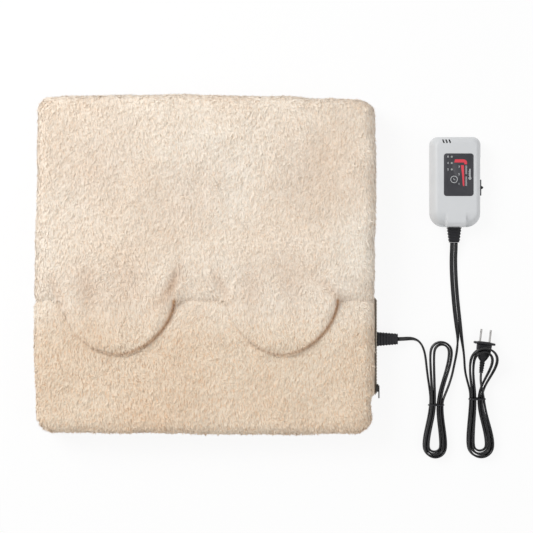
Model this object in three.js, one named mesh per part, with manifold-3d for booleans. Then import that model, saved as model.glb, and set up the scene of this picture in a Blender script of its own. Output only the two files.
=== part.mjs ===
// Electric foot heater: a square fleece foot bag with two foot holes under hinged tongues, a heated
// foot bed, and a hand controller and mains plug on flat leads that are tied up in two hanks.
// Millimetres, +Z up. The origin is on the floor under the middle of the bag.
// +Y is the toe end of the bag, +X the side where the lead is plugged in.
import * as THREE from "three";
import { mergeVertices, mergeGeometries } from "three/addons/utils/BufferGeometryUtils.js";
import Module from "manifold-3d";

const wasm = await Module();
wasm.setup();

// Shared clearances
const gap = 0.3; // between pieces that touch
const overrun = 2; // how far a cutting tool runs past the face that it cuts

// Foot bag
const bagWidth = 451;
const bagDepth = 448;
const bagCorner = 22; // plan radius of its corners
const baseThickness = 1.5;
const baseInset = 9; // the underside is this much smaller than the bag all round
const sideWall = 12; // padded side band, at its thickest
const bandTop = 43; // where the covers start
const bandTopInset = 5;
const coverThickness = 7; // sheet of fleece and wadding over the heel end
const toeRise = 12; // how much higher the toe cover and the tongues stand than the heel cover
const seamY = -47; // seam between the toe cover and the heel cover
const seamDip = 9; // how deep the seam draws the toe cover in
const seamReach = 13; // how far the draw reaches into the toe cover

// Layers in the bag, from below
const foamThickness = 10.5;
const feltThickness = 1.5;
const heaterWireDiameter = 2;
const heaterWireRuns = 9;
const heaterWireMargin = 22; // from the edge of the felt to the wire
const footBedThickness = 5;
const layerInset = 1.2; // layers are this much smaller than the room inside the side band

// Tongues over the foot holes
const tongueDepth = 70;
const leftTongueWidth = 148;
const leftTongueX = -113;
const rightTongueWidth = 144;
const rightTongueX = 101;
const tongueOverlap = 13; // how far a tongue laps over the edge of its foot hole
const tongueFullness = 1.75; // power of the round outline: 2 is an ellipse, more is squarer

// Connector and socket at the side of the bag
const connectorY = -99.6;
const connectorZ = 10.4;
const connectorWidth = 20.3;
const connectorHeight = 14;
const connectorLength = 34.6;
const connectorTailWidth = 14.6;
const connectorTailHeight = 9.5;
const connectorRibs = 9;
const ribDepth = 0.9;
const noseWidth = 14;
const noseHeight = 8;
const noseLength = 18;
const socketWall = 2;
const socketDepth = 34; // from the socket's mouth to its back
const socketMouthInset = 4.5; // how far inside the bag's side the socket's mouth lies
const socketMouthX = bagWidth / 2 - socketMouthInset;
const contactDiameter = 2.4;
const contactPitch = 5;

// Side zip
const zipStartY = -44;
const zipEndInset = 52; // from the heel end of the bag to the zip's end
const zipEndY = zipEndInset - bagDepth / 2;
const zipZ = 27;
const zipTapeHeight = 13;
const zipTapeThickness = 0.8;
const zipCoilHeight = 4.2;
const zipCoilThickness = 1.6;
const zipToothPitch = 4;
const zipToothGap = 1.2;
const zipToothDepth = 0.6;
const zipSliderLength = 10;
const zipSliderHeight = 8;
const zipSliderWall = 1.2;
const zipPullLength = 17;
const zipPullWidth = 4.6;
const zipPullThickness = 1.2;

// Hand controller
const caseX = 332.2;
const caseY = 110;
const caseWidth = 67.4;
const caseLength = 120;
const caseHeight = 28;
const caseTopCorner = 10.5;
const caseBottomCorner = 19;
const caseSplit = 11; // height of the joint between the two halves
const caseWall = 2.2;
const caseBevel = 8.5; // how far the top face is drawn in from the sides
const caseBevelDrop = 10; // height of the sloping shoulder
const caseFootInset = 3.5;
const faceTopCorner = 7;
const faceBottomCorner = 13;
const chinWidth = 25;
const chinRise = 5; // how far the chin stands proud of the sloping end
const panelX = 334.6;
const panelY = 118.6;
const panelWidth = 39;
const panelLength = 56;
const panelCorner = 3;
const panelThickness = 0.6;
const ledX = 325.4;
const ledTopY = 142.4;
const ledPitch = 8.4;
const ledDiameter = 2.6;
const ledHeight = 6;
const buttonX = 328.4;
const buttonY = 112.4;
const buttonDiameter = 9.6;
const buttonHeight = 3.6;
const buttonTravel = 0.6;
const ventX = 318.8;
const ventY = 163;
const ventPitch = 4.2;
const ventWidth = 1.6;
const ventLength = 4.8;
const ventSlant = 0.32;
const gripLength = 78; // shallow scoop along the right side, round the slider
const gripDepth = 1.4;
const gripY = 104;
const sliderTravel = 28;
const sliderY = 102.4; // at its lowest setting
const sliderPlateLength = 21;
const sliderPlateHeight = 5.5;
const sliderPlateThickness = 1.6;
const sliderNubLength = 5;
const sliderNubReach = 2.6;
const sliderZ = 15.5;
const sliderStemWidth = 4;
const sliderStemHeight = 2.2;
const sliderSlotSpare = 1;
const boardThickness = 1.6;
const boardMargin = 4;
const boardZ = 8.4;
const resistorWidth = 8;
const resistorSpare = 3; // between the case's wall and the slide resistor
const heatSinkWidth = 14;
const heatSinkLength = 18;
const heatSinkBase = 3;
const heatSinkFins = 4;
const heatSinkFinThickness = 2;
const tallPartHeight = 11; // heat sink and capacitor, above the board
const capacitorDiameter = 10;
const screwDiameter = 3;
const screwHeadDiameter = 5.4;
const screwHeadHeight = 2;
const screwLength = 9;
const screwInsetX = 15;
const screwInsetY = 14;

// Strain relief below the controller
const glandWidth = 19.4;
const glandHeight = 11;
const glandLength = 20;
const glandTailWidth = 14.6;
const glandTailHeight = 7;
const glandRibs = 5;
const glandNeckWidth = 15;
const glandNeckHeight = 8;
const glandZ = 7;

// Flat leads: the heater lead has three cores side by side, the mains lead two
const heaterLeadWidth = 5.4;
const mainsLeadWidth = 4.8;
const leadThickness = 2.5;
const leadShoulderShare = 0.68; // of the half width, where a lead's rounded edge starts
const leadTipShare = 0.45; // of the half thickness, at the edge itself
const leadFloor = 0.3; // the leads' lowest edge

// Hanks of the two leads
const hankTurns = 5;
const hankLayerGap = 0.5;
const hankStepsPerTurn = 24;
const waistReach = 26; // how far from the waist a hank is still held up by its tie
const tieWire = 1.1; // half the width of the tie's band
const tieSlack = 0.45; // between the tie and the runs in it

// Mains plug
const plugX = 373;
const plugY = -103.4;
const plugTilt = -0.12; // turned a little clockwise
const flangeWidth = 28.8;
const flangeHeight = 16;
const flangeThickness = 3.6;
const plugBodyWidth = 20;
const plugBodyHeight = 12;
const plugBodyLength = 22;
const plugTailWidth = 7.6;
const plugTailLength = 16;
const plugTailRibs = 5;
const bladeLength = 16.5;
const bladeRoot = 5;
const bladeWidth = 6.3;
const bladeThickness = 1.5;
const bladePitch = 12.7;
const bladeHoleDiameter = 3;

// Colours and finishes
const finish = {
  fleece: { color: 0xe6d3be, roughness: 0.95 },
  underside: { color: 0x6d655e, roughness: 0.9 },
  foam: { color: 0xded9c8, roughness: 0.9 },
  felt: { color: 0xc9c4bb, roughness: 0.95 },
  heating: { color: 0xb4543c, roughness: 0.5 },
  black: { color: 0x17171a, roughness: 0.35 },
  shell: { color: 0xcfd1d1, roughness: 0.38 },
  panel: { color: 0x3c3c43, roughness: 0.35 },
  metal: { color: 0xc9c7c0, roughness: 0.25, metalness: 1 },
  board: { color: 0x2f6b45, roughness: 0.6 },
  lens: { color: 0xd8d8d0, roughness: 0.2 },
  pale: { color: 0xe4e2dc, roughness: 0.6 },
};

// Solids, booleans and simple shapes
function solidOf(geometry) {
  const bare = geometry.clone();
  bare.deleteAttribute("normal");
  bare.deleteAttribute("uv");
  const merged = mergeVertices(bare, 1e-4);
  const vertProperties = new Float32Array(merged.attributes.position.array);
  const triVerts = new Uint32Array(merged.index.array);
  return new wasm.Manifold(new wasm.Mesh({ numProp: 3, vertProperties, triVerts }));
}

function geometryOf(solid) {
  const mesh = solid.getMesh();
  const geometry = new THREE.BufferGeometry();
  geometry.setAttribute("position", new THREE.BufferAttribute(mesh.vertProperties, 3));
  geometry.setIndex(new THREE.BufferAttribute(mesh.triVerts, 1));
  return geometry;
}

function cut(geometry, ...tools) {
  return geometryOf(tools.reduce((solid, tool) => solid.subtract(solidOf(tool)), solidOf(geometry)));
}

function join(geometry, ...others) {
  return geometryOf(others.reduce((solid, other) => solid.add(solidOf(other)), solidOf(geometry)));
}

function common(geometry, other) {
  return geometryOf(solidOf(geometry).intersect(solidOf(other)));
}

function block(x0, x1, y0, y1, z0, z1) {
  return new THREE.BoxGeometry(x1 - x0, y1 - y0, z1 - z0).translate((x0 + x1) / 2, (y0 + y1) / 2, (z0 + z1) / 2);
}

function roundedRectangle(width, depth, radius, x = 0, y = 0, lowerRadius = radius) {
  const shape = new THREE.Shape();
  const halfWidth = width / 2;
  const halfDepth = depth / 2;
  const quarter = Math.PI / 2;
  shape.absarc(x + halfWidth - radius, y + halfDepth - radius, radius, 0, quarter, false);
  shape.absarc(x - halfWidth + radius, y + halfDepth - radius, radius, quarter, 2 * quarter, false);
  const low = lowerRadius;
  shape.absarc(x - halfWidth + low, y - halfDepth + low, low, 2 * quarter, 3 * quarter, false);
  shape.absarc(x + halfWidth - low, y - halfDepth + low, low, 3 * quarter, 4 * quarter, false);
  shape.closePath();
  return shape;
}

function slab(shape, z0, z1, curveSegments = 5) {
  return new THREE.ExtrudeGeometry(shape, { depth: z1 - z0, bevelEnabled: false, curveSegments }).translate(0, 0, z0);
}

// A cylinder from one point to another
function rod(from, to, radius, sides = 12) {
  const start = new THREE.Vector3(...from);
  const end = new THREE.Vector3(...to);
  const along = end.clone().sub(start);
  const geometry = new THREE.CylinderGeometry(radius, radius, along.length(), sides);
  const turn = new THREE.Quaternion().setFromUnitVectors(new THREE.Vector3(0, 1, 0), along.clone().normalize());
  return geometry.applyQuaternion(turn).translate(...start.add(end).multiplyScalar(1 / 2).toArray());
}

// A closed body through rings of points, all with the same count, capped flat at both ends
function loft(rings, closed = false) {
  const count = rings[0].length;
  const points = rings.flat();
  const index = [];
  const last = closed ? rings.length : rings.length - 1;
  for (let ring = 0; ring < last; ring += 1) {
    const here = ring * count;
    const next = ((ring + 1) % rings.length) * count;
    for (let side = 0; side < count; side += 1) {
      const beside = (side + 1) % count;
      index.push(here + side, here + beside, next + beside);
      index.push(here + side, next + beside, next + side);
    }
  }
  if (!closed) {
    capRing(points, index, 0, count, true);
    capRing(points, index, (rings.length - 1) * count, count, false);
  }
  const geometry = new THREE.BufferGeometry();
  geometry.setAttribute("position", new THREE.Float32BufferAttribute(points.flat(), 3));
  geometry.setIndex(index);
  return geometry;
}

function capRing(points, index, first, count, reversed) {
  const middle = [0, 1, 2].map((axis) => {
    let sum = 0;
    for (let side = 0; side < count; side += 1) sum += points[first + side][axis];
    return sum / count;
  });
  const centre = points.push(middle) - 1;
  for (let side = 0; side < count; side += 1) {
    const beside = (side + 1) % count;
    if (reversed) index.push(first + beside, first + side, centre);
    else index.push(first + side, first + beside, centre);
  }
}

function smooth(share) {
  const held = Math.min(1, Math.max(0, share));
  return held * held * (3 - 2 * held);
}

// Group that holds every piece
const heater = new THREE.Group();

function addPiece(name, geometry, look, parent = heater) {
  const material = new THREE.MeshStandardMaterial({ metalness: 0, ...look, flatShading: true });
  const mesh = new THREE.Mesh(geometry, material);
  mesh.name = name;
  parent.add(mesh);
  return mesh;
}

// Heights in the bag, from the floor up
const foamZ = baseThickness + gap;
const lowerFeltZ = foamZ + foamThickness + gap;
const heaterWireZ = lowerFeltZ + feltThickness + gap + heaterWireDiameter / 2;
const upperFeltZ = heaterWireZ + heaterWireDiameter / 2 + gap;
const footBedZ = upperFeltZ + feltThickness + gap;
const coverZ = bandTop + gap;
const heelTop = coverZ + coverThickness;
const tongueZ = heelTop + gap;
const bagTop = heelTop + toeRise;
const roomWidth = bagWidth - 2 * (sideWall + layerInset);
const roomDepth = bagDepth - 2 * (sideWall + layerInset);
const socketTop = connectorZ + noseHeight / 2 + gap + socketWall;
const socketHalfWidth = noseWidth / 2 + gap + socketWall;
const socketBackX = socketMouthX - socketDepth;

function bagOutline(inset, z) {
  const shape = roundedRectangle(bagWidth - 2 * inset, bagDepth - 2 * inset, bagCorner - inset);
  return shape.extractPoints(5).shape.map((point) => [point.x, point.y, z]);
}

// Padded band round the sides, widest at half its height
function makeSideBand() {
  const bottom = baseThickness + gap;
  const bandShares = [0, 0.14, 0.45, 0.78, 1];
  const insets = [baseInset - gap, baseInset / 3, 0, bandTopInset / 4, bandTopInset];
  const outer = loft(bandShares.map((share, ring) => bagOutline(insets[ring], bottom + share * (bandTop - bottom))));
  const room = roundedRectangle(bagWidth - 2 * sideWall, bagDepth - 2 * sideWall, bagCorner - sideWall);
  const mouth = socketHalfWidth + gap;
  const lip = connectorWidth / 2 + gap;
  const lipHeight = connectorHeight / 2 + gap;
  const tapeRoom = zipTapeHeight / 2 + gap;
  return cut(
    outer,
    slab(room, bottom - overrun, bandTop + overrun),
    block(socketBackX, bagWidth / 2 + overrun, connectorY - mouth, connectorY + mouth, bottom - overrun, socketTop + gap),
    block(socketMouthX, bagWidth / 2 + overrun, connectorY - lip, connectorY + lip, bottom - overrun, connectorZ + lipHeight),
    block(zipWallX - gap, bagWidth / 2 + overrun, zipEndY - gap, zipStartY + gap, zipZ - tapeRoom, zipZ + tapeRoom),
  );
}

// Closed cushion over a grid: the plan runs between the side edges of each row, the underside is flat
function gridCushion(rows, columns, edges, rowY, top, bottom) {
  const points = [];
  const index = [];
  const layer = (rows + 1) * (columns + 1);
  const at = (row, column) => row * (columns + 1) + column;
  for (const upper of [false, true]) {
    for (let row = 0; row <= rows; row += 1) {
      const y = rowY(row / rows);
      const [left, right] = edges(y);
      for (let column = 0; column <= columns; column += 1) {
        const across = (1 - Math.cos((Math.PI * column) / columns)) / 2;
        const share = (across + column / columns) / 2;
        const x = left + share * (right - left);
        points.push(x, y, upper ? top(x, y) : bottom);
      }
    }
  }
  for (let row = 0; row < rows; row += 1) {
    for (let column = 0; column < columns; column += 1) {
      const [a, b, c, d] = [at(row, column), at(row, column + 1), at(row + 1, column + 1), at(row + 1, column)];
      index.push(a, c, b, a, d, c);
      index.push(layer + a, layer + b, layer + c, layer + a, layer + c, layer + d);
    }
  }
  const rim = [];
  for (let column = 0; column < columns; column += 1) rim.push([at(0, column), at(0, column + 1)]);
  for (let row = 0; row < rows; row += 1) rim.push([at(row, columns), at(row + 1, columns)]);
  for (let column = columns; column > 0; column -= 1) rim.push([at(rows, column), at(rows, column - 1)]);
  for (let row = rows; row > 0; row -= 1) rim.push([at(row, 0), at(row - 1, 0)]);
  for (const [a, b] of rim) index.push(a, b, layer + b, a, layer + b, layer + a);
  const geometry = new THREE.BufferGeometry();
  geometry.setAttribute("position", new THREE.Float32BufferAttribute(points, 3));
  geometry.setIndex(index);
  return geometry;
}

// Half width of the covers at a place along the bag, with rounded corners
function coverHalfWidth(y) {
  const halfWidth = bagWidth / 2 - bandTopInset;
  const intoCorner = Math.abs(y) - (bagDepth / 2 - bagCorner);
  const radius = bagCorner - bandTopInset;
  if (intoCorner <= 0) return halfWidth;
  const run = Math.min(radius, intoCorner);
  return halfWidth - radius + Math.sqrt(Math.max(0, radius * radius - run * run));
}

// Share of its full height that a cover has at a distance in from the bag's edge
function rolledEdge(x, y, reach) {
  const fromSide = bagWidth / 2 - bandTopInset - Math.abs(x);
  const fromEnd = bagDepth / 2 - bandTopInset - Math.abs(y);
  const roll = (distance) => {
    const left = 1 - Math.min(1, Math.max(0, distance / reach));
    return Math.sqrt(1 - left * left);
  };
  return roll(fromSide) * roll(fromEnd);
}

// How far into a tongue's width a place lies: 0 at its middle line, 1 at its side
function tongueShare(x) {
  return Math.min(
    Math.abs(x - leftTongueX) / (leftTongueWidth / 2),
    Math.abs(x - rightTongueX) / (rightTongueWidth / 2),
  );
}

function toeTop(x, y) {
  const crown = bagTop - coverZ;
  const beside = smooth((tongueShare(x) - 1) / (2 * seamReach / leftTongueWidth) + 1 / 2);
  const near = Math.exp(-(((y - seamY) / seamReach) ** 2));
  return coverZ + (crown - seamDip * beside * near) * Math.max(edgeThicknessShare, rolledEdge(x, y, crown));
}

const edgeThicknessShare = 0.12;

function heelCoverTop(x, y) {
  return coverZ + coverThickness * Math.max(edgeThicknessShare, rolledEdge(x, y, coverThickness));
}

function coverEdges(y) {
  const halfWidth = coverHalfWidth(y);
  return [-halfWidth, halfWidth];
}

const coverEnd = bagDepth / 2 - bandTopInset - gap;

function makeToeCover() {
  const rowY = (share) => seamY + (coverEnd - seamY) * (1 - Math.cos(Math.PI * share)) / 2;
  return gridCushion(15, 33, coverEdges, rowY, toeTop, coverZ);
}

// Plan of a tongue or of the foot hole under it: a straight root and a round tip
function tongueHalfWidth(halfWidth, share) {
  return halfWidth * (1 - Math.min(1, share) ** tongueFullness) ** (1 / tongueFullness);
}

function footHole(x, width) {
  const halfWidth = width / 2 - tongueOverlap;
  const depth = tongueDepth - tongueOverlap;
  const steps = 10;
  const shape = new THREE.Shape();
  shape.moveTo(x - halfWidth, seamY + overrun);
  for (let step = 0; step < steps; step += 1) {
    const share = Math.sin((Math.PI / 2) * (step / steps));
    shape.lineTo(x - tongueHalfWidth(halfWidth, share), seamY - gap - depth * share);
  }
  for (let step = steps; step >= 0; step -= 1) {
    const share = Math.sin((Math.PI / 2) * (step / steps));
    shape.lineTo(x + tongueHalfWidth(halfWidth, share), seamY - gap - depth * share);
  }
  shape.lineTo(x + halfWidth, seamY + overrun);
  return slab(shape, coverZ - overrun, bagTop + overrun);
}

function makeHeelCover() {
  const start = seamY - gap;
  const rowY = (share) => -coverEnd + (start + coverEnd) * (1 + share - Math.cos(Math.PI * share / 2)) / 2;
  const sheet = gridCushion(10, 26, coverEdges, rowY, heelCoverTop, coverZ);
  return cut(sheet, footHole(leftTongueX, leftTongueWidth), footHole(rightTongueX, rightTongueWidth));
}

// Tongue: thick fleece flap with a rolled edge, its root face to face with the toe cover
function makeTongue(x, width) {
  const rows = 11;
  const columns = 16;
  const root = seamY - gap;
  const thickness = bagTop - gap - tongueZ;
  const tipShare = 0.995;
  const rowY = (share) => root - tongueDepth * tipShare * Math.sin((Math.PI / 2) * (1 - share));
  const halfAt = (y) => tongueHalfWidth(width / 2, (root - y) / tongueDepth);
  const top = (px, y) => {
    const sideways = Math.abs(px - x) / halfAt(y);
    const forward = (root - y) / tongueDepth;
    const full = Math.max(0, 1 - sideways ** 6) * Math.max(0, 1 - forward ** 6);
    return tongueZ + thickness * Math.max(edgeThicknessShare, Math.sqrt(full));
  };
  return gridCushion(rows, columns, (y) => [x - halfAt(y), x + halfAt(y)], rowY, top, tongueZ);
}

// Heater wire: one run back and forth between the felts
function makeHeaterWire() {
  const halfWidth = roomWidth / 2 - heaterWireMargin;
  const halfDepth = roomDepth / 2 - heaterWireMargin;
  const pitch = (2 * halfDepth) / (heaterWireRuns - 1);
  const radius = pitch / 2;
  const path = new THREE.CurvePath();
  for (let run = 0; run < heaterWireRuns; run += 1) {
    const y = -halfDepth + run * pitch;
    const side = run % 2 === 0 ? 1 : -1;
    const turnX = side * (halfWidth - radius);
    const start = new THREE.Vector3(run === 0 ? socketBackX - heaterWireMargin : turnX, y, heaterWireZ);
    const end = new THREE.Vector3(-turnX, y, heaterWireZ);
    path.add(new THREE.LineCurve3(start, end));
    if (run < heaterWireRuns - 1) path.add(new HalfTurn(end, -side, radius));
  }
  const section = new THREE.Shape();
  section.absarc(0, 0, heaterWireDiameter / 2, 0, 2 * Math.PI, false);
  return new THREE.ExtrudeGeometry(section, { steps: heaterWireRuns * 8, extrudePath: path, curveSegments: 3 });
}

// Half circle in plan that joins two runs of the wire
class HalfTurn extends THREE.Curve {
  constructor(start, side, radius) {
    super();
    this.start = start;
    this.side = side;
    this.radius = radius;
  }

  getPoint(share, target = new THREE.Vector3()) {
    const angle = Math.PI * share;
    const x = this.start.x + this.side * this.radius * Math.sin(angle);
    return target.set(x, this.start.y + this.radius * (1 - Math.cos(angle)), this.start.z);
  }
}

function layer(inset, z0, thickness) {
  const shape = roundedRectangle(roomWidth - 2 * inset, roomDepth - 2 * inset, bagCorner - sideWall - layerInset);
  return slab(shape, z0, z0 + thickness);
}

function socketPocket() {
  const half = socketHalfWidth + gap;
  const back = socketBackX - gap;
  return block(back, bagWidth / 2, connectorY - half, connectorY + half, foamZ - overrun, upperFeltZ);
}

function makeSocket() {
  const outer = block(
    socketBackX, socketMouthX, connectorY - socketHalfWidth, connectorY + socketHalfWidth,
    foamZ + gap, socketTop,
  );
  const half = noseWidth / 2 + gap;
  const halfHeight = noseHeight / 2 + gap;
  const mouthX = socketMouthX - noseLength - gap;
  return cut(
    outer,
    block(mouthX, socketMouthX + overrun, connectorY - half, connectorY + half, connectorZ - halfHeight, connectorZ + halfHeight),
  );
}

// Zip along the side, above the connector: tape, coil of teeth, slider and pull
const zipWallX = bagWidth / 2 - 3 * gap - zipTapeThickness;
const zipFaceX = zipWallX + zipTapeThickness;

function makeZipTape() {
  const half = zipTapeHeight / 2;
  return block(zipWallX, zipFaceX, zipEndY, zipStartY, zipZ - half, zipZ + half);
}

// Closed teeth: a flat cord with a notch between each tooth and the next
function makeZipCoil() {
  const half = zipCoilHeight / 2;
  const inner = zipFaceX + gap;
  const shape = new THREE.Shape();
  const start = zipStartY - zipToothPitch / 2;
  const count = Math.floor((start - zipEndY) / zipToothPitch);
  shape.moveTo(inner, start);
  shape.lineTo(inner, start - count * zipToothPitch);
  for (let tooth = count; tooth > 0; tooth -= 1) {
    const y = start - tooth * zipToothPitch;
    shape.lineTo(inner + zipCoilThickness, y);
    shape.lineTo(inner + zipCoilThickness, y + zipToothPitch - zipToothGap);
    shape.lineTo(inner + zipCoilThickness - zipToothDepth, y + zipToothPitch - zipToothGap);
    shape.lineTo(inner + zipCoilThickness - zipToothDepth, y + zipToothPitch);
  }
  shape.closePath();
  return slab(shape, zipZ - half, zipZ + half);
}

const zipSliderStartY = zipEndY + zipSliderLength / 2 + zipToothPitch;
const zipTravel = zipStartY - zipToothPitch - zipSliderLength / 2 - zipSliderStartY;
const zipSliderBackX = zipFaceX + gap;
const zipSliderFrontX = zipFaceX + 3 * gap + zipCoilThickness + zipSliderWall;

function makeZipSlider() {
  const half = zipSliderHeight / 2;
  const y0 = zipSliderStartY - zipSliderLength / 2;
  const y1 = zipSliderStartY + zipSliderLength / 2;
  const outline = roundedRectangle(zipSliderLength, zipSliderHeight, half / 2);
  const body = slab(outline, 0, zipSliderFrontX - zipSliderBackX, 3);
  body.rotateX(Math.PI / 2).rotateZ(Math.PI / 2);
  body.translate(zipSliderBackX, (y0 + y1) / 2, zipZ);
  const room = zipCoilHeight / 2 + gap;
  const deep = zipSliderFrontX - zipSliderWall;
  return cut(body, block(zipSliderBackX - overrun, deep, y0 - overrun, y1 + overrun, zipZ - room, zipZ + room));
}

function makeZipPull() {
  const outline = roundedRectangle(zipPullLength, zipPullWidth, zipPullWidth / 2.2);
  const hole = new THREE.Path();
  hole.absarc(zipPullLength / 2 - zipPullWidth / 2, 0, zipPullWidth / 5, 0, 2 * Math.PI, true);
  outline.holes.push(hole);
  const pull = slab(outline, 0, zipPullThickness, 4);
  pull.rotateX(Math.PI / 2).rotateZ(Math.PI / 2);
  const y = zipSliderStartY - zipPullLength / 2 + zipSliderLength / 3;
  return pull.translate(zipSliderFrontX + gap, y, zipZ);
}

// Cross-section rings with rounded sides, seen along an axis
function stadiumRing(width, height, sides, place) {
  const ring = [];
  for (let side = 0; side < sides; side += 1) {
    const angle = (2 * Math.PI * (side + 1 / 2)) / sides;
    const [c, s] = [Math.cos(angle), Math.sin(angle)];
    const power = 1 / 2;
    const across = (width / 2) * Math.sign(c) * Math.abs(c) ** power;
    const up = (height / 2) * Math.sign(s) * Math.abs(s) ** power;
    ring.push(place(across, up));
  }
  return ring;
}

// Ribbed strain relief that tapers along its length
function ribbedTaper(start, end, ribs, depth, sides, place) {
  const rings = [];
  const stations = 4 * ribs;
  for (let station = 0; station <= stations; station += 1) {
    const share = station / stations;
    const groove = station % 4 >= 2 && station < stations ? depth : 0;
    const width = start[0] + share * (end[0] - start[0]) - 2 * groove;
    const height = start[1] + share * (end[1] - start[1]) - 2 * groove;
    rings.push(stadiumRing(width, height, sides, (across, up) => place(across, up, share)));
  }
  return loft(rings);
}

const connectorFaceX = socketMouthX + gap;
const connectorTailX = connectorFaceX + connectorLength;

function makeConnector() {
  const place = (across, up, share) => [
    connectorFaceX + share * connectorLength,
    connectorY + across,
    connectorZ + up,
  ];
  const handle = ribbedTaper(
    [connectorWidth, connectorHeight],
    [connectorTailWidth, connectorTailHeight],
    connectorRibs, ribDepth, 12, place,
  );
  const half = noseWidth / 2;
  const x0 = connectorFaceX - noseLength;
  const nose = block(
    x0, connectorFaceX + overrun, connectorY - half, connectorY + half,
    connectorZ - noseHeight / 2, connectorZ + noseHeight / 2,
  );
  const holes = contactPlaces().map((y) => rod(
    [x0 - overrun, y, connectorZ],
    [connectorFaceX - gap, y, connectorZ],
    contactDiameter / 2 + gap,
  ));
  return cut(join(handle, nose), ...holes);
}

function contactPlaces() {
  return [-1, 1].map((side) => connectorY + (side * contactPitch) / 2);
}

function makeContact(y) {
  const back = socketMouthX - noseLength - gap;
  return rod([back + gap, y, connectorZ], [socketMouthX - 3 * gap, y, connectorZ], contactDiameter / 2, 8);
}

// Hand controller housing: loft of rounded outlines, hollow, in two halves
function caseOutline(width, length, radius, lowerRadius, z) {
  const shape = roundedRectangle(width, length, radius, caseX, caseY, lowerRadius);
  return shape.extractPoints(5).shape.map((point) => [point.x, point.y, z]);
}

function caseLoft(wall, z0, z1) {
  const floorInset = caseFootInset + wall;
  const shoulder = caseHeight - caseBevelDrop;
  const levels = [
    [floorInset, 0],
    [wall + caseFootInset / 4, caseSplit / 3],
    [wall, caseSplit],
    [wall + caseBevel / 16, shoulder],
    [wall + caseBevel / 2.6, shoulder + caseBevelDrop * 0.55],
    [wall + caseBevel * 0.72, caseHeight - caseBevelDrop * 0.16],
    [wall + caseBevel, caseHeight],
  ];
  const tall = (caseHeight - 2 * wall) / caseHeight;
  const rings = levels.map(([inset, z]) => {
    const share = inset / (caseBevel + wall);
    const radii = [[caseTopCorner, faceTopCorner], [caseBottomCorner, faceBottomCorner]].map(([foot, face]) => (
      Math.max(face - wall, (foot - wall) * (1 - share) + face * share)
    ));
    return caseOutline(caseWidth - 2 * inset, caseLength - 2 * inset, ...radii, wall + z * tall);
  });
  return common(loft(rings), block(
    caseX - caseWidth, caseX + caseWidth, caseY - caseLength, caseY + caseLength, z0, z1,
  ));
}

// Chin over the cord exit: a raised block that runs level to the end of the case
function makeChin() {
  const half = chinWidth / 2;
  const endY = caseY - caseLength / 2;
  const backY = endY + caseBevel * 2.4;
  const shape = new THREE.Shape();
  shape.moveTo(endY + gap, caseSplit + gap);
  shape.lineTo(endY + gap, caseHeight - caseBevelDrop - chinRise / 5);
  shape.lineTo(endY + caseBevel * 0.5, caseHeight - caseBevelDrop + chinRise * 0.9);
  shape.lineTo(backY, caseHeight - gap);
  shape.lineTo(backY, caseSplit + gap);
  shape.closePath();
  const body = slab(shape, -half, half);
  body.rotateX(Math.PI / 2).rotateZ(Math.PI / 2);
  return body.translate(caseX, 0, 0);
}

const cavityFloor = caseWall;
const glandExitY = caseY - caseLength / 2;
const glandNeckInY = glandExitY + caseWall;
const caseRightX = caseX + caseWidth / 2;

// Scoop along the right side, and the slot that the slider's stem runs in
function gripScoop() {
  const depth = gripDepth + sliderPlateThickness;
  const outline = roundedRectangle(gripLength, 2 * caseHeight, caseBevel, 0, 0);
  const scoop = slab(outline, 0, depth + overrun, 3);
  scoop.rotateX(Math.PI / 2).rotateZ(Math.PI / 2);
  return scoop.translate(caseRightX - gripDepth, gripY, sliderZ);
}

function sliderSlot() {
  const half = sliderStemHeight / 2 + gap;
  const y0 = sliderY - sliderStemWidth / 2 - sliderSlotSpare;
  const y1 = sliderY + sliderTravel + sliderStemWidth / 2 + sliderSlotSpare;
  return block(caseX, caseRightX + overrun, y0, y1, sliderZ - half, sliderZ + half);
}

function ventSlots() {
  return [-1, 0, 1].map((place) => {
    const slot = slab(roundedRectangle(ventWidth, ventLength, ventWidth / 2.2), 0, caseHeight, 2);
    return slot.rotateZ(ventSlant).translate(ventX + place * ventPitch, ventY, caseHeight / 2 + caseWall * 2);
  });
}

function neckHole() {
  const half = glandNeckWidth / 2 + gap;
  const tall = glandNeckHeight / 2 + gap;
  return block(
    caseX - half, caseX + half, glandExitY - overrun, glandNeckInY + overrun,
    glandZ - tall, glandZ + tall,
  );
}

const panelFloor = caseHeight - panelThickness;

function makeCaseTop() {
  const lower = caseSplit + gap;
  const shell = join(caseLoft(0, lower, caseHeight), common(makeChin(), block(
    caseX - caseWidth, caseX + caseWidth, caseY - caseLength, caseY, lower, caseHeight,
  )));
  const panelShape = roundedRectangle(panelWidth + 2 * gap, panelLength + 2 * gap, panelCorner + gap, panelX, panelY);
  const leds = ledPlaces().map((y) => rod([ledX, y, caseHeight / 2], [ledX, y, caseHeight + overrun], ledDiameter / 2 + gap));
  return cut(
    shell,
    caseLoft(caseWall, 0, caseHeight),
    slab(panelShape, panelFloor - gap, caseHeight + overrun),
    gripScoop(),
    sliderSlot(),
    neckHole(),
    rod([buttonX, buttonY, caseHeight / 2], [buttonX, buttonY, caseHeight], buttonDiameter / 2 + gap, 20),
    ...leds,
    ...ventSlots(),
  );
}

function makeCaseBottom() {
  const holes = screwPlaces().flatMap(([x, y]) => [
    rod([x, y, -overrun], [x, y, screwHeadHeight + gap], screwHeadDiameter / 2 + gap),
    rod([x, y, -overrun], [x, y, caseSplit + overrun], screwDiameter / 2 + gap),
  ]);
  const bosses = screwPlaces().map(([x, y]) => rod(
    [x, y, caseWall / 2],
    [x, y, boardZ - gap],
    screwHeadDiameter / 2 + caseWall / 2,
  ));
  const hollow = cut(caseLoft(0, 0, caseSplit), caseLoft(caseWall, 0, caseHeight));
  return cut(join(hollow, ...bosses), gripScoop(), neckHole(), ...holes);
}

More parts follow.
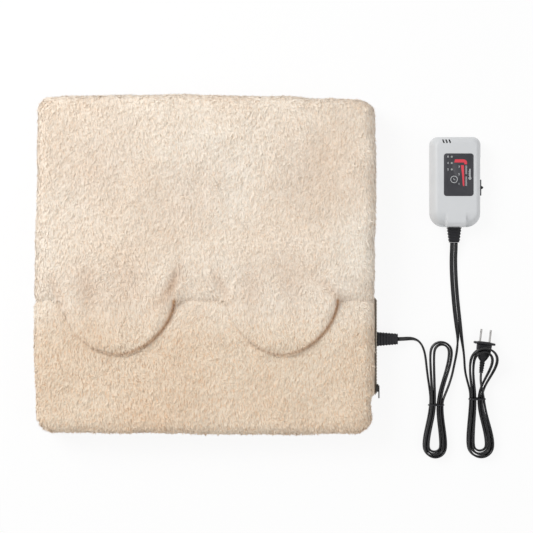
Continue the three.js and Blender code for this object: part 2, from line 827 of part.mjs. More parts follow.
function screwPlaces() {
  const x = caseWidth / 2 - screwInsetX;
  const y = caseLength / 2 - screwInsetY;
  return [[-1, 1], [1, 1], [-1, -1], [1, -1]].map(([sx, sy]) => [caseX + sx * x, caseY + sy * y]);
}

function makeScrew([x, y]) {
  const head = rod([x, y, gap], [x, y, screwHeadHeight], screwHeadDiameter / 2);
  const shank = rod([x, y, screwHeadHeight / 2], [x, y, screwLength], screwDiameter / 2, 8);
  const slot = block(
    x - screwHeadDiameter, x + screwHeadDiameter, y - screwDiameter / 8, y + screwDiameter / 8,
    -overrun, screwHeadHeight / 2,
  );
  return cut(join(head, shank), slot);
}

function ledPlaces() {
  return [0, 1, 2].map((place) => ledTopY - place * ledPitch);
}

function makePanel() {
  const shape = roundedRectangle(panelWidth, panelLength, panelCorner, panelX, panelY);
  const window = new THREE.Path();
  window.absarc(buttonX, buttonY, buttonDiameter / 2 + gap, 0, 2 * Math.PI, true);
  shape.holes.push(window);
  for (const y of ledPlaces()) {
    const hole = new THREE.Path();
    hole.absarc(ledX, y, ledDiameter / 2 + gap, 0, 2 * Math.PI, true);
    shape.holes.push(hole);
  }
  return slab(shape, panelFloor, caseHeight, 6);
}

const boardTop = boardZ + boardThickness;

function makeBoard() {
  const width = caseWidth - 2 * (caseWall + boardMargin + gripDepth);
  const length = caseLength - 2 * (caseWall + boardMargin);
  const corner = caseTopCorner - boardMargin;
  const shape = roundedRectangle(width, length, corner, caseX, caseY, caseBottomCorner - boardMargin);
  for (const [x, y] of screwPlaces()) {
    const hole = new THREE.Path();
    hole.absarc(x, y, screwDiameter / 2 + gap, 0, 2 * Math.PI, true);
    shape.holes.push(hole);
  }
  return slab(shape, boardZ, boardTop, 4);
}

function makeLed(y) {
  const top = panelFloor + panelThickness - gap;
  const stem = rod([ledX, y, boardTop + gap], [ledX, y, top - ledHeight / 2], ledDiameter / 3, 8);
  return join(stem, rod([ledX, y, top - ledHeight], [ledX, y, top], ledDiameter / 2, 12));
}

const buttonTop = caseHeight - gap / 2;
const switchHeight = 4;
const switchTop = boardTop + gap + switchHeight;

function makeButton() {
  const cap = rod([buttonX, buttonY, buttonTop - buttonHeight], [buttonX, buttonY, buttonTop], buttonDiameter / 2, 20);
  const stem = rod(
    [buttonX, buttonY, switchTop + buttonTravel + gap],
    [buttonX, buttonY, buttonTop - buttonHeight / 2],
    buttonDiameter / 6, 8,
  );
  return join(cap, stem);
}

function makeSwitch() {
  const half = buttonDiameter / 3;
  return block(buttonX - half, buttonX + half, buttonY - half, buttonY + half, boardTop + gap, switchTop);
}

// Slide resistor on the board, and the slider that moves it from outside
const resistorHalfWidth = resistorWidth / 2;
const resistorX = caseRightX - gripDepth - caseWall - resistorHalfWidth - resistorSpare;

function makeResistor() {
  const y0 = sliderY - sliderPlateLength / 2;
  const y1 = sliderY + sliderTravel + sliderPlateLength / 2;
  return block(
    resistorX - resistorHalfWidth, resistorX + resistorHalfWidth, y0, y1,
    boardTop + gap, sliderZ - sliderStemHeight / 2 - gap,
  );
}

function makeSlider() {
  const faceX = caseRightX - gripDepth + gap;
  const half = sliderPlateLength / 2;
  const plate = block(
    faceX, faceX + sliderPlateThickness, sliderY - half, sliderY + half,
    sliderZ - sliderPlateHeight / 2, sliderZ + sliderPlateHeight / 2,
  );
  const stem = block(
    resistorX - resistorHalfWidth, faceX + sliderPlateThickness / 2,
    sliderY - sliderStemWidth / 2, sliderY + sliderStemWidth / 2,
    sliderZ - sliderStemHeight / 2, sliderZ + sliderStemHeight / 2,
  );
  const nubX = faceX + sliderPlateThickness;
  const nub = new THREE.Shape();
  nub.moveTo(nubX - gap, sliderY - sliderNubLength / 2);
  nub.lineTo(nubX + sliderNubReach, sliderY - sliderNubLength / 5);
  nub.lineTo(nubX + sliderNubReach, sliderY + sliderNubLength / 5);
  nub.lineTo(nubX - gap, sliderY + sliderNubLength / 2);
  nub.closePath();
  const nubHalf = sliderPlateHeight * 0.4;
  return join(plate, stem, slab(nub, sliderZ - nubHalf, sliderZ + nubHalf));
}

// Power switch element with its heat sink, and the capacitor beside it
function makePowerElement() {
  const x0 = caseX - caseWidth / 5 - heatSinkWidth / 2;
  const y0 = caseY - caseLength / 6 - heatSinkLength / 2;
  const z0 = boardTop + gap;
  const base = block(x0, x0 + heatSinkWidth, y0, y0 + heatSinkLength, z0, z0 + heatSinkBase);
  const pitch = (heatSinkWidth - heatSinkFinThickness) / (heatSinkFins - 1);
  const fins = [];
  for (let fin = 0; fin < heatSinkFins; fin += 1) {
    const x = x0 + fin * pitch;
    fins.push(block(x, x + heatSinkFinThickness, y0, y0 + heatSinkLength, z0 + gap, boardTop + tallPartHeight));
  }
  return join(base, ...fins);
}

function makeCapacitor() {
  const x = caseX + caseWidth / 12;
  const y = caseY - caseLength / 4;
  return rod([x, y, boardTop + gap], [x, y, boardTop + tallPartHeight], capacitorDiameter / 2, 14);
}

// Strain relief: a neck held in the case and a ribbed taper below it
function makeGland() {
  const place = (across, up, share) => [caseX + across, glandExitY - gap - share * glandLength, glandZ + up];
  const taper = ribbedTaper([glandWidth, glandHeight], [glandTailWidth, glandTailHeight], glandRibs, ribDepth, 12, place);
  const half = glandNeckWidth / 2;
  const tall = glandNeckHeight / 2;
  const neckEnd = glandNeckInY + overrun - gap;
  const neck = block(caseX - half, caseX + half, glandExitY - gap - overrun, neckEnd, glandZ - tall, glandZ + tall);
  return join(taper, neck);
}

// Flat leads. A lead is swept along its points; a point's turn is 0 lying flat and 1 standing on edge
function leadSection(width, sides) {
  const flat = leadThickness / 2;
  const half = width / 2;
  const shoulder = half * leadShoulderShare;
  if (sides === 6) {
    return [[-flat, -shoulder], [0, -half], [flat, -shoulder], [flat, shoulder], [0, half], [-flat, shoulder]];
  }
  const tip = flat * leadTipShare;
  return [[-flat, -shoulder], [-tip, -half], [tip, -half], [flat, -shoulder],
    [flat, shoulder], [tip, half], [-tip, half], [-flat, shoulder]];
}

function sweepLead(points, width, sides) {
  const section = leadSection(width, sides);
  const places = points.map(([x, y, z]) => new THREE.Vector3(x, y, z));
  const rings = places.map((place, step) => {
    const before = places[Math.max(0, step - 1)];
    const after = places[Math.min(places.length - 1, step + 1)];
    const along = after.clone().sub(before).normalize();
    const side = new THREE.Vector3(along.y, -along.x, 0).normalize();
    const up = new THREE.Vector3(0, 0, 1);
    const angle = (Math.PI / 2) * (points[step][3] ?? 1);
    const thin = side.clone().multiplyScalar(Math.sin(angle)).addScaledVector(up, Math.cos(angle));
    const wide = up.clone().multiplyScalar(Math.sin(angle)).addScaledVector(side, -Math.cos(angle));
    return section.map(([a, b]) => place.clone().addScaledVector(thin, -a).addScaledVector(wide, b).toArray());
  });
  return loft(rings);
}

// Points along a smooth curve through chosen places, with the turn carried along
function routePoints(places, steps) {
  const curve = new THREE.CatmullRomCurve3(places.map(([x, y, z]) => new THREE.Vector3(x, y, z)), false, "centripetal");
  const turns = new THREE.CatmullRomCurve3(places.map((place) => new THREE.Vector3(place[3], 0, 0)));
  const points = [];
  for (let step = 0; step <= steps; step += 1) {
    const share = step / steps;
    const turn = Math.min(1, Math.max(0, turns.getPoint(share).x));
    points.push([...curve.getPoint(share).toArray(), turn]);
  }
  return points;
}

// A hank: runs drawn together at the waist, a lobe at the top and one at the bottom.
// The loops spiral in on the lower layer, climb a layer on the run after the innermost bottom
// bend, and spiral out again on the upper layer.
const heaterHank = {
  width: heaterLeadWidth,
  waist: [308.1, -187.9],
  top: [315.1, -118.3],
  topHalfWidth: 15.9,
  bottom: [306.4, -244],
  bottomHalfWidth: 15.7,
  waistLift: 1.6,
  endLift: 0,
  pitch: 3.15, // from run to run at the waist
  lobePitch: 3.5, // from run to run in the lobes
  topSlack: 2, // how much closer together the inner loops are drawn than the outermost one
  topSlackSide: -0.7, // 0 where the outermost loop stands off on both sides, 1 where on the right
  bottomSlack: 4.6,
  bottomSlackSide: 0.35,
};

const mainsHank = {
  width: mainsLeadWidth,
  waist: [362.5, -179.6],
  top: [370.4, -129],
  topHalfWidth: 19.6,
  bottom: [367.9, -242],
  bottomHalfWidth: 18,
  waistLift: 1.6,
  endLift: mainsLeadWidth + hankLayerGap,
  pitch: 3.45,
  lobePitch: 4.25,
  topSlack: 1.5,
  topSlackSide: 1,
  bottomSlack: 3,
  bottomSlackSide: 0.9,
};

const hankEnd = hankTurns - 1 / 2;
const climbEnd = hankTurns / 2; // the climbing run reaches the waist after this many turns
const climbStartShare = 0.24; // the climb starts this share of a turn before that
const climbShare = 0.13;
const climbInwardRate = 3; // how fast the climbing run crosses outward over the runs below
const liftSpread = 2; // loops that are lifted lie this much further apart
const liftSpreadStart = 4; // lift at which they do so in full
const plugLiftFlat = 1; // loops stay at their full lift this far past the plug's side
const plugLiftReach = 30; // and come down to the floor over this distance
const plugLiftEnd = 0.4; // share of the plug's body that carries the loops

function waistHalfWidth(hank) {
  return (hankEnd * hank.pitch) / 2;
}

function hankPoint(hank, turn) {
  const inward = Math.min(turn, hankEnd - climbEnd + climbInwardRate * (climbEnd - turn));
  const depth = turn < climbEnd ? inward : hankEnd - turn;
  const quarterSteps = hankStepsPerTurn / 8;
  const step = (turn - Math.floor(turn + 1e-9)) * hankStepsPerTurn;
  const waist = waistHalfWidth(hank) - hank.pitch * depth;
  const inTop = step > 4 * quarterSteps;
  const lobe = inTop ? hank.top : hank.bottom;
  const loop = inTop ? depth - 1 / 2 : depth;
  const nested = (inTop ? hank.topHalfWidth : hank.bottomHalfWidth) - hank.lobePitch * loop;
  const slack = (inTop ? hank.topSlack : hank.bottomSlack) * smooth((loop - 1 / 2) * 2);
  const radius = nested - slack;
  const lobeX = lobe[0] - (inTop ? hank.topSlackSide : hank.bottomSlackSide) * slack;
  const half = inTop ? step - 4 * quarterSteps : step;
  const firstSide = inTop ? 1 : -1;
  const endward = inTop ? 1 : -1;
  let x;
  let y;
  if (half < quarterSteps || half > 3 * quarterSteps) {
    const share = half < quarterSteps ? half / quarterSteps : 4 - half / quarterSteps;
    const side = half < quarterSteps ? firstSide : -firstSide;
    const eased = smooth(share);
    x = hank.waist[0] + eased * (lobeX - hank.waist[0]) + side * (waist + eased * (radius - waist));
    y = hank.waist[1] + share * (lobe[1] - hank.waist[1]);
  } else {
    const angle = (Math.PI * (half - quarterSteps)) / (2 * quarterSteps);
    x = lobeX + firstSide * radius * Math.cos(angle);
    y = lobe[1] + endward * nested * Math.sin(angle);
  }
  const climb = smooth((turn - climbEnd + climbStartShare) / climbShare);
  const lastClimb = smooth((turn - hankEnd + climbShare) / climbShare);
  const nearWaist = 1 - smooth(Math.abs(y - hank.waist[1]) / waistReach);
  const lift = hank === mainsHank ? plugLift(x, y) : 0;
  const z = leadFloor + hank.width / 2
    + climb * (hank.width + hankLayerGap + liftSpread * smooth(lift / liftSpreadStart))
    + lastClimb * hank.endLift
    + hank.waistLift * nearWaist
    + lift;
  return [x, y, z];
}

// Height that the loops over the plug are held up at
function plugLift(x, y) {
  const [ax, ay] = plugPoint(0, flangeThickness);
  const [bx, by] = plugPoint(0, flangeThickness + plugBodyLength * plugLiftEnd);
  const along = Math.min(1, Math.max(0, ((x - ax) * (bx - ax) + (y - ay) * (by - ay)) / ((bx - ax) ** 2 + (by - ay) ** 2)));
  const distance = Math.hypot(x - ax - along * (bx - ax), y - ay - along * (by - ay));
  const top = flangeHeight / 2 + plugBodyHeight / 2 + 6 * gap;
  return top * (1 - smooth((distance - plugBodyWidth / 2 - plugLiftFlat) / plugLiftReach));
}

// A place on the plug in plan: across it, and back from the face of its flange
function plugPoint(across, back) {
  const [c, s] = [Math.cos(plugTilt), Math.sin(plugTilt)];
  return [plugX + across * c + back * s, plugY + across * s - back * c];
}

function hankPoints(hank) {
  const points = [];
  const steps = Math.round(hankEnd * hankStepsPerTurn);
  for (let step = 0; step <= steps; step += 1) {
    points.push(hankPoint(hank, step / hankStepsPerTurn));
  }
  return points;
}

// Least gap between one stretch of a hank and another: beside it in plan, or else above it
function hankLeastGap(hank) {
  const samplesPerStep = 4;
  const points = hankPoints(hank);
  let least = Infinity;
  for (let one = 0; one < (points.length - 1) * samplesPerStep; one += 1) {
    const step = Math.floor(one / samplesPerStep);
    const share = one / samplesPerStep - step;
    const here = points[step].map((value, axis) => value + share * (points[step + 1][axis] - value));
    for (let other = step + 5; other < points.length - 1; other += 1) {
      const [from, to] = [points[other], points[other + 1]];
      const run = [to[0] - from[0], to[1] - from[1]];
      const reach = ((here[0] - from[0]) * run[0] + (here[1] - from[1]) * run[1]) / (run[0] ** 2 + run[1] ** 2);
      const held = Math.min(1, Math.max(0, reach));
      const across = Math.hypot(from[0] + held * run[0] - here[0], from[1] + held * run[1] - here[1]);
      const above = Math.abs(from[2] + held * (to[2] - from[2]) - here[2]);
      least = Math.min(least, Math.max(across - leadThickness, above - hank.width));
    }
  }
  return least;
}

function makeHank(hank) {
  return sweepLead(hankPoints(hank), hank.width, 6);
}

// Wire tie round a hank's waist, with its two twisted ends
function makeTie(hank) {
  const halfWidth = waistHalfWidth(hank) + leadThickness / 2 + tieSlack;
  const floor = leadFloor + hank.waistLift - tieSlack;
  const top = leadFloor + hank.waistLift + 2 * (hank.width + hankLayerGap) + hank.endLift + tieSlack;
  const height = top - floor;
  const centre = floor + height / 2;
  const ring = (spare, y) => roundedRectangle(2 * (halfWidth + spare), height + 2 * spare, tieSlack + spare + tieWire)
    .extractPoints(3).shape.map((point) => [hank.waist[0] + point.x, y, centre + point.y]);
  const y0 = hank.waist[1] - tieWire;
  const y1 = hank.waist[1] + tieWire;
  const outer = loft([ring(tieWire, y1), ring(tieWire, y0)]);
  const knot = rod(
    [hank.waist[0] - halfWidth - tieWire * 3, hank.waist[1], centre],
    [hank.waist[0] - halfWidth - tieWire / 2, hank.waist[1], centre], tieWire, 8,
  );
  return cut(join(outer, knot), loft([ring(0, y1 + overrun), ring(0, y0 - overrun)]));
}

// Chosen places of the free leads: x, y, height of the middle, turn
const leadStartX = connectorTailX + gap;
const leadBendX = 279.4; // the heater lead is straight from the connector to here
const straightX = (share) => leadStartX + share * (leadBendX - leadStartX);
const heaterLead = [
  [leadStartX, connectorY, connectorZ, 0], [straightX(0.21), -99.6, 10.2, 0],
  [straightX(0.48), -99.3, 8.4, 0.1], [straightX(0.75), -99.2, 5.6, 0.35], [leadBendX, -99.9, 3.6, 0.7], [285.4, -102.6, 3.1, 1], [290.2, -109.2, 3, 1], [293.2, -117.6, 3, 1],
  [294.8, -127, 3, 1], [295.8, -136.6, 3, 1], [296.9, -146, 3, 1], [298.2, -155.6, 3, 1],
  [299.6, -165, 3.2, 1], [300.6, -174, 4, 1], [301.01, -182, 4.5, 1], [301.01, -187.6, 4.6, 1],
];

const heaterBranch = [
  [315.19, -187.6, 10.5, 1], [315.9, -183, 10.7, 1], [319.6, -174, 9.9, 1], [324.2, -164, 7.4, 1],
  [329.6, -149.4, 4.5, 1], [333, -135, 3.1, 1], [335.9, -121, 3, 1], [337.4, -109, 3, 1],
  [337.4, -97, 2.9, 0.5], [336.3, -84, 2.2, 0.15], [334.5, -68, 1.6, 0], [332.8, -52, 1.6, 0],
  [331.4, -36, 1.6, 0], [330.3, -20, 1.6, 0], [329.6, -4, 1.8, 0], [329.3, 10, 3.4, 0],
  [329.3, 22, 6.4, 0], [329.3, 29.4, 7, 0],
];

const mainsBranch = [
  [335, 29.4, 7, 0], [335, 22, 6.4, 0], [335, 10, 3.4, 0], [335.4, -4, 1.8, 0],
  [336.1, -20, 1.6, 0], [337.2, -36, 1.6, 0], [338.6, -52, 1.6, 0], [340.3, -68, 1.6, 0],
  [342, -84, 1.9, 0.1], [343.4, -97, 2.6, 0.45], [344.8, -109, 2.9, 0.85], [346.1, -120, 2.7, 1],
  [346.9, -131, 2.7, 1], [347.6, -142, 2.7, 1], [349.6, -152, 2.7, 1], [352.2, -162, 3.3, 1],
  [354.1, -170, 4.1, 1], [354.74, -175, 4.3, 1], [354.74, -179.3, 4.3, 1],
];

const plugLead = [
  [370.26, -179.3, 14.9, 1], [370, -175.4, 15.1, 1], [368.6, -169, 15, 1], [367.1, -161.4, 14.2, 1],
  [366.9, -154.8, 11.4, 1], [367.5, -149.3, 9, 1], [368.02, -145.4, 8.3, 1],
];

// Mains plug: flange and body moulded in one, ribbed tail, two flat blades
function placePlug(across, back, z) {
  const [x, y] = plugPoint(across, back);
  return [x, y, flangeHeight / 2 + gap + z];
}

function makePlugBody() {
  const tailStart = flangeThickness + plugBodyLength;
  const sections = [
    [0, flangeWidth, flangeHeight],
    [flangeThickness, flangeWidth, flangeHeight],
    [flangeThickness, plugBodyWidth, plugBodyHeight],
    [flangeThickness + plugBodyLength * 0.45, plugBodyWidth * 0.95, plugBodyHeight],
    [flangeThickness + plugBodyLength * 0.8, plugBodyWidth * 0.66, plugBodyHeight * 0.86],
    [tailStart, plugTailWidth, plugTailWidth],
  ];
  for (let rib = 1; rib <= plugTailRibs; rib += 1) {
    const back = tailStart + (rib / plugTailRibs) * plugTailLength;
    const width = plugTailWidth * (1 - 0.05 * rib);
    const groove = (plugTailLength / plugTailRibs) * 0.4;
    sections.push([back - 2 * groove, width - 2 * ribDepth, width - 2 * ribDepth]);
    sections.push([back - groove, width - 2 * ribDepth, width - 2 * ribDepth]);
    sections.push([back - groove, width, width]);
    sections.push([back, width, width]);
  }
  const rings = sections.map(([back, width, height]) => (
    stadiumRing(width, height, 16, (across, up) => placePlug(across, back, up))
  ));
  const slots = [-1, 1].map((side) => bladeBlock(side, gap, -overrun, bladeRoot + gap));
  return cut(loft(rings), ...slots);
}

function bladeBlock(side, spare, front, back) {
  const half = bladeThickness / 2 + spare;
  const tall = bladeWidth / 2 + spare;
  const centre = (side * bladePitch) / 2;
  const plate = new THREE.BoxGeometry(2 * half, back - front, 2 * tall);
  plate.translate(centre, -(front + back) / 2, flangeHeight / 2 + gap);
  return plate.rotateZ(plugTilt).translate(plugX, plugY, 0);
}

function makeBlade(side) {
  const hole = new THREE.CylinderGeometry(bladeHoleDiameter / 2, bladeHoleDiameter / 2, bladePitch, 12);
  hole.rotateZ(Math.PI / 2).translate((side * bladePitch) / 2, bladeLength * 0.76, flangeHeight / 2 + gap);
  hole.rotateZ(plugTilt).translate(plugX, plugY, 0);
  return cut(bladeBlock(side, 0, -bladeLength, bladeRoot), hole);
}

// The whole heater
function addBag() {
  const bag = new THREE.Group();
  heater.add(bag);
  const base = roundedRectangle(bagWidth - 2 * baseInset, bagDepth - 2 * baseInset, bagCorner - baseInset);
  addPiece("base_sheet", slab(base, 0, baseThickness), finish.underside, bag);
  addPiece("foam_cushion", cut(layer(0, foamZ, foamThickness), socketPocket()), finish.foam, bag);
  addPiece("lower_felt", cut(layer(gap, lowerFeltZ, feltThickness), socketPocket()), finish.felt, bag);
  addPiece("heater_wire", makeHeaterWire(), finish.heating, bag);
  addPiece("upper_felt", cut(layer(gap, upperFeltZ, feltThickness), socketPocket()), finish.felt, bag);
  addPiece("foot_bed", layer(0, footBedZ, footBedThickness), finish.fleece, bag);
  addPiece("side_band", makeSideBand(), finish.fleece, bag);
  addPiece("toe_cover", makeToeCover(), finish.fleece, bag);
  addPiece("heel_cover", makeHeelCover(), finish.fleece, bag);
  addPiece("left_tongue", makeTongue(leftTongueX, leftTongueWidth), finish.fleece, bag);
  addPiece("right_tongue", makeTongue(rightTongueX, rightTongueWidth), finish.fleece, bag);
  addPiece("heater_socket", makeSocket(), finish.black, bag);
  contactPlaces().forEach((y, place) => addPiece(`socket_pin_${place + 1}`, makeContact(y), finish.metal, bag));
  addPiece("zip_tape", makeZipTape(), finish.pale, bag);
  addPiece("zip_coil", makeZipCoil(), finish.pale, bag);
  addPiece("zip_slider", makeZipSlider(), finish.metal, bag);
  addPiece("zip_pull", makeZipPull(), finish.black, bag);
}

function addController() {
  const controller = new THREE.Group();
  heater.add(controller);
  addPiece("case_top", makeCaseTop(), finish.shell, controller);
  addPiece("case_bottom", makeCaseBottom(), finish.shell, controller);
  addPiece("label_panel", makePanel(), finish.panel, controller);
  addPiece("circuit_board", makeBoard(), finish.board, controller);
  addPiece("slide_resistor", makeResistor(), finish.metal, controller);
  addPiece("temperature_slider", makeSlider(), finish.black, controller);
  addPiece("timer_button", makeButton(), finish.panel, controller);
  addPiece("timer_switch", makeSwitch(), finish.black, controller);
  addPiece("power_element", makePowerElement(), finish.metal, controller);
  addPiece("capacitor", makeCapacitor(), finish.black, controller);
  ledPlaces().forEach((y, place) => addPiece(`timer_lamp_${place + 1}`, makeLed(y), finish.lens, controller));
  screwPlaces().forEach((place, screw) => addPiece(`case_screw_${screw + 1}`, makeScrew(place), finish.metal, controller));
}

function addLeads() {
  const leads = new THREE.Group();
  heater.add(leads);
  addPiece("connector_plug", makeConnector(), finish.black, leads);
  addPiece("heater_lead_a", sweepLead(routePoints(heaterLead, 22), heaterLeadWidth, 8), finish.black, leads);
  addPiece("heater_lead_hank", makeHank(heaterHank), finish.black, leads);
  addPiece("heater_lead_tie", makeTie(heaterHank), finish.black, leads);
  addPiece("heater_lead_b", sweepLead(routePoints(heaterBranch, 24), heaterLeadWidth, 8), finish.black, leads);
  addPiece("cord_strain_relief", makeGland(), finish.black, leads);
  addPiece("mains_lead_a", sweepLead(routePoints(mainsBranch, 24), mainsLeadWidth, 8), finish.black, leads);
  addPiece("mains_lead_hank", makeHank(mainsHank), finish.black, leads);
  addPiece("mains_lead_tie", makeTie(mainsHank), finish.black, leads);
  addPiece("mains_lead_b", sweepLead(routePoints(plugLead, 10), mainsLeadWidth, 8), finish.black, leads);
  addPiece("plug_body", makePlugBody(), finish.black, leads);
  [-1, 1].forEach((side, place) => addPiece(`plug_blade_${place + 1}`, makeBlade(side), finish.metal, leads));
}

addBag();
addController();
addLeads();

console.log(`heater lead hank least gap ${hankLeastGap(heaterHank).toFixed(2)}`);
console.log(`mains lead hank least gap ${hankLeastGap(mainsHank).toFixed(2)}`);

export default heater;
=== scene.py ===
"""Electric foot heater: fleece foot bag, hand controller and two tied flat leads, seen from above."""
import math

import bmesh
import bpy
import numpy as np
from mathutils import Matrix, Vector


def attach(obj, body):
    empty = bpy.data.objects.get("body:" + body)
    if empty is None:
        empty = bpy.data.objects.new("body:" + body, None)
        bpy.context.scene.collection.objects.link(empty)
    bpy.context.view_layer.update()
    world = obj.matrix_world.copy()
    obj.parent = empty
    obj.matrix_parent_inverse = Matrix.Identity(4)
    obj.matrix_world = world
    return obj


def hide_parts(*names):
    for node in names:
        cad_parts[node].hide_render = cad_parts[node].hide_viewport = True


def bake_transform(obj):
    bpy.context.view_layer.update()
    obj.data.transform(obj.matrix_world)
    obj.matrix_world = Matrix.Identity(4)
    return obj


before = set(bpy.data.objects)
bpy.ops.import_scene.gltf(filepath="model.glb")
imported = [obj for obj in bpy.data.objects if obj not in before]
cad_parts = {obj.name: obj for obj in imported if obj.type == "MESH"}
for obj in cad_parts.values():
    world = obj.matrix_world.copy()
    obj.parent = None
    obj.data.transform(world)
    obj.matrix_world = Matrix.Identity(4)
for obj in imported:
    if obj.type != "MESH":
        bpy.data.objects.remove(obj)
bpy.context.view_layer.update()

MM = 0.001
WELD_DISTANCE = 0.02 * MM

# Camera: straight above, as in the photograph, with the frame's width at the height of the bag's edge
CAMERA_X = 80.7 * MM
CAMERA_Y = -2.6 * MM
CAMERA_HEIGHT = 1400 * MM
EDGE_HEIGHT = 25 * MM
FRAME_WIDTH = 705.4 * MM
SENSOR = 36.0


def add_camera():
    data = bpy.data.cameras.new("camera")
    data.sensor_width = SENSOR
    data.sensor_fit = "HORIZONTAL"
    data.lens = SENSOR * (CAMERA_HEIGHT - EDGE_HEIGHT) / FRAME_WIDTH
    data.clip_end = 20
    camera = placed("camera", data)
    camera.location = (CAMERA_X, CAMERA_Y, CAMERA_HEIGHT)
    bpy.context.scene.camera = camera


# Materials: each is a small node graph built from noise, with uniform values on the shader's sockets
def set_socket(tree, socket, value):
    """Give a socket its value, or link it to another node's output."""
    if isinstance(value, bpy.types.NodeSocket):
        tree.links.new(value, socket)
    else:
        socket.default_value = value


def feed(tree, node, **inputs):
    for name, value in inputs.items():
        set_socket(tree, node.inputs[name.replace("_", " ")], value)
    return node


def add_node(tree, kind, **inputs):
    return feed(tree, tree.nodes.new("ShaderNode" + kind), **inputs)


def new_material(name, roughness, metallic=0.0, **sockets):
    material = bpy.data.materials.new(name)
    material.use_nodes = True
    tree = material.node_tree
    shader = feed(tree, tree.nodes["Principled BSDF"], Roughness=roughness, Metallic=metallic, **sockets)
    return material, tree, shader, add_node(tree, "TexCoord").outputs["Object"]


def noise(tree, vector, scale, detail=3.0, rough=0.5, distortion=0.0, stretch=None):
    if stretch:
        vector = add_node(tree, "Mapping", Scale=stretch, Vector=vector).outputs["Vector"]
    node = add_node(tree, "TexNoise", Scale=scale, Detail=detail, Roughness=rough, Distortion=distortion)
    return feed(tree, node, Vector=vector).outputs["Fac"]


def ramp(tree, factor, stops):
    node = add_node(tree, "ValToRGB", Fac=factor)
    elements = node.color_ramp.elements
    while len(elements) < len(stops):
        elements.new(0.5)
    for element, (place, colour) in zip(elements, stops):
        element.position = place
        element.color = (*colour, 1)
    return node.outputs["Color"]


def bump(tree, height, distance, strength=1.0, normal=None):
    node = add_node(tree, "Bump", Distance=distance, Strength=strength, Height=height)
    if normal is not None:
        feed(tree, node, Normal=normal)
    return node.outputs["Normal"]


def mixed(tree, a, b, factor, blend="MIX"):
    node = add_node(tree, "Mix")
    node.data_type = "RGBA"
    node.blend_type = blend
    return feed(tree, node, A=a, B=b, Factor=factor).outputs["Result"]


def kept_value(tree, name):
    """What each vertex keeps under a name."""
    node = add_node(tree, "Attribute")
    node.attribute_name = name
    return node.outputs["Fac"]


def linear(*rgb):
    """A colour as written in sRGB, 0 to 255, in linear light."""
    values = []
    for channel in rgb:
        share = channel / 255
        values.append(share / 12.92 if share <= 0.04045 else ((share + 0.055) / 1.055) ** 2.4)
    return tuple(values)


def grained_material(name, roughness, shades, cast, grain, height, strength, stops=(0.3, 0.7), **sockets):
    """Two shades over broad noise and a raised fine grain; without a cast, the grain does for both."""
    material, tree, shader, place = new_material(name, roughness, **sockets)
    fine = noise(tree, place, *grain)
    broad = noise(tree, place, *cast) if cast else fine
    tint = ramp(tree, broad, [(stop, linear(*shade)) for stop, shade in zip(stops, shades)])
    feed(tree, shader, Base_Color=tint, Normal=bump(tree, fine, height, strength))
    return material


def placed(name, data):
    """A new object in the scene."""
    piece = bpy.data.objects.new(name, data)
    bpy.context.collection.objects.link(piece)
    return piece


def dress(piece, body, slot, material, *nodes):
    """Give a piece its material, the body it rides on and the CAD nodes it replaces; the slot is not used."""
    piece.data.materials.append(material)
    if body:
        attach(piece, body)
    if nodes:
        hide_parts(*nodes)
    return piece


def edit_mesh(piece, change):
    work = bmesh.new()
    work.from_mesh(piece.data)
    change(work)
    work.to_mesh(piece.data)
    work.free()


# Leads: flat cords, swept along their routes. A point's last number is 0 lying flat and 1 on edge
THICKNESS = 2.5
CORE_WIDTH = 2.7
HEATER_WIDTH = 5.4
MAINS_WIDTH = 4.8
LEAD_FLOOR = 0.3
HANK_TURNS = 5
HANK_END = HANK_TURNS - 0.5
CLIMB_END = HANK_TURNS / 2
CLIMB_START_SHARE = 0.24
CLIMB_SHARE = 0.13
LAYER_GAP = 0.5
LIFT_SPREAD = 2
LIFT_SPREAD_START = 4
STEPS_PER_TURN = 72

HEATER_LEAD = [
    (256.2, -99.6, 10.4, 0), (261.07, -99.6, 10.2, 0), (267.34, -99.3, 8.4, 0.1), (273.6, -99.2, 5.6, 0.35),
    (279.4, -99.9, 3.6, 0.7), (285.4, -102.6, 3.1, 1), (290.2, -109.2, 3, 1), (293.2, -117.6, 3, 1),
    (294.8, -127, 3, 1), (295.8, -136.6, 3, 1), (296.9, -146, 3, 1), (298.2, -155.6, 3, 1),
    (299.6, -165, 3.2, 1), (300.6, -174, 4, 1), (301.01, -182, 4.5, 1), (301.01, -187.6, 4.6, 1),
]
HEATER_BRANCH = [
    (315.19, -187.6, 10.5, 1), (315.9, -183, 10.7, 1), (319.6, -174, 9.9, 1), (324.2, -164, 7.4, 1),
    (329.6, -149.4, 4.5, 1), (333, -135, 3.1, 1), (335.9, -121, 3, 1), (337.4, -109, 3, 1),
    (338, -97, 2.9, 0.5), (336.6, -84, 2.2, 0.15), (334.7, -68, 1.6, 0), (333, -52, 1.6, 0),
    (331.6, -36, 1.6, 0), (330.5, -20, 1.6, 0), (329.8, -4, 1.8, 0), (329.5, 10, 3.4, 0),
    (329.5, 22, 6.4, 0), (329.5, 29.4, 7, 0),
]
MAINS_BRANCH = [
    (334.8, 29.4, 7, 0), (334.8, 22, 6.4, 0), (334.8, 10, 3.4, 0), (335.2, -4, 1.8, 0),
    (335.9, -20, 1.6, 0), (337, -36, 1.6, 0), (338.4, -52, 1.6, 0), (340.1, -68, 1.6, 0),
    (341.7, -84, 1.9, 0.1), (342.9, -97, 2.6, 0.45), (344.6, -109, 2.9, 0.85), (346.1, -120, 2.7, 1),
    (346.9, -131, 2.7, 1), (347.6, -142, 2.7, 1), (349.6, -152, 2.7, 1), (352.2, -162, 3.3, 1),
    (354.1, -170, 4.1, 1), (354.74, -175, 4.3, 1), (354.74, -179.3, 4.3, 1),
]
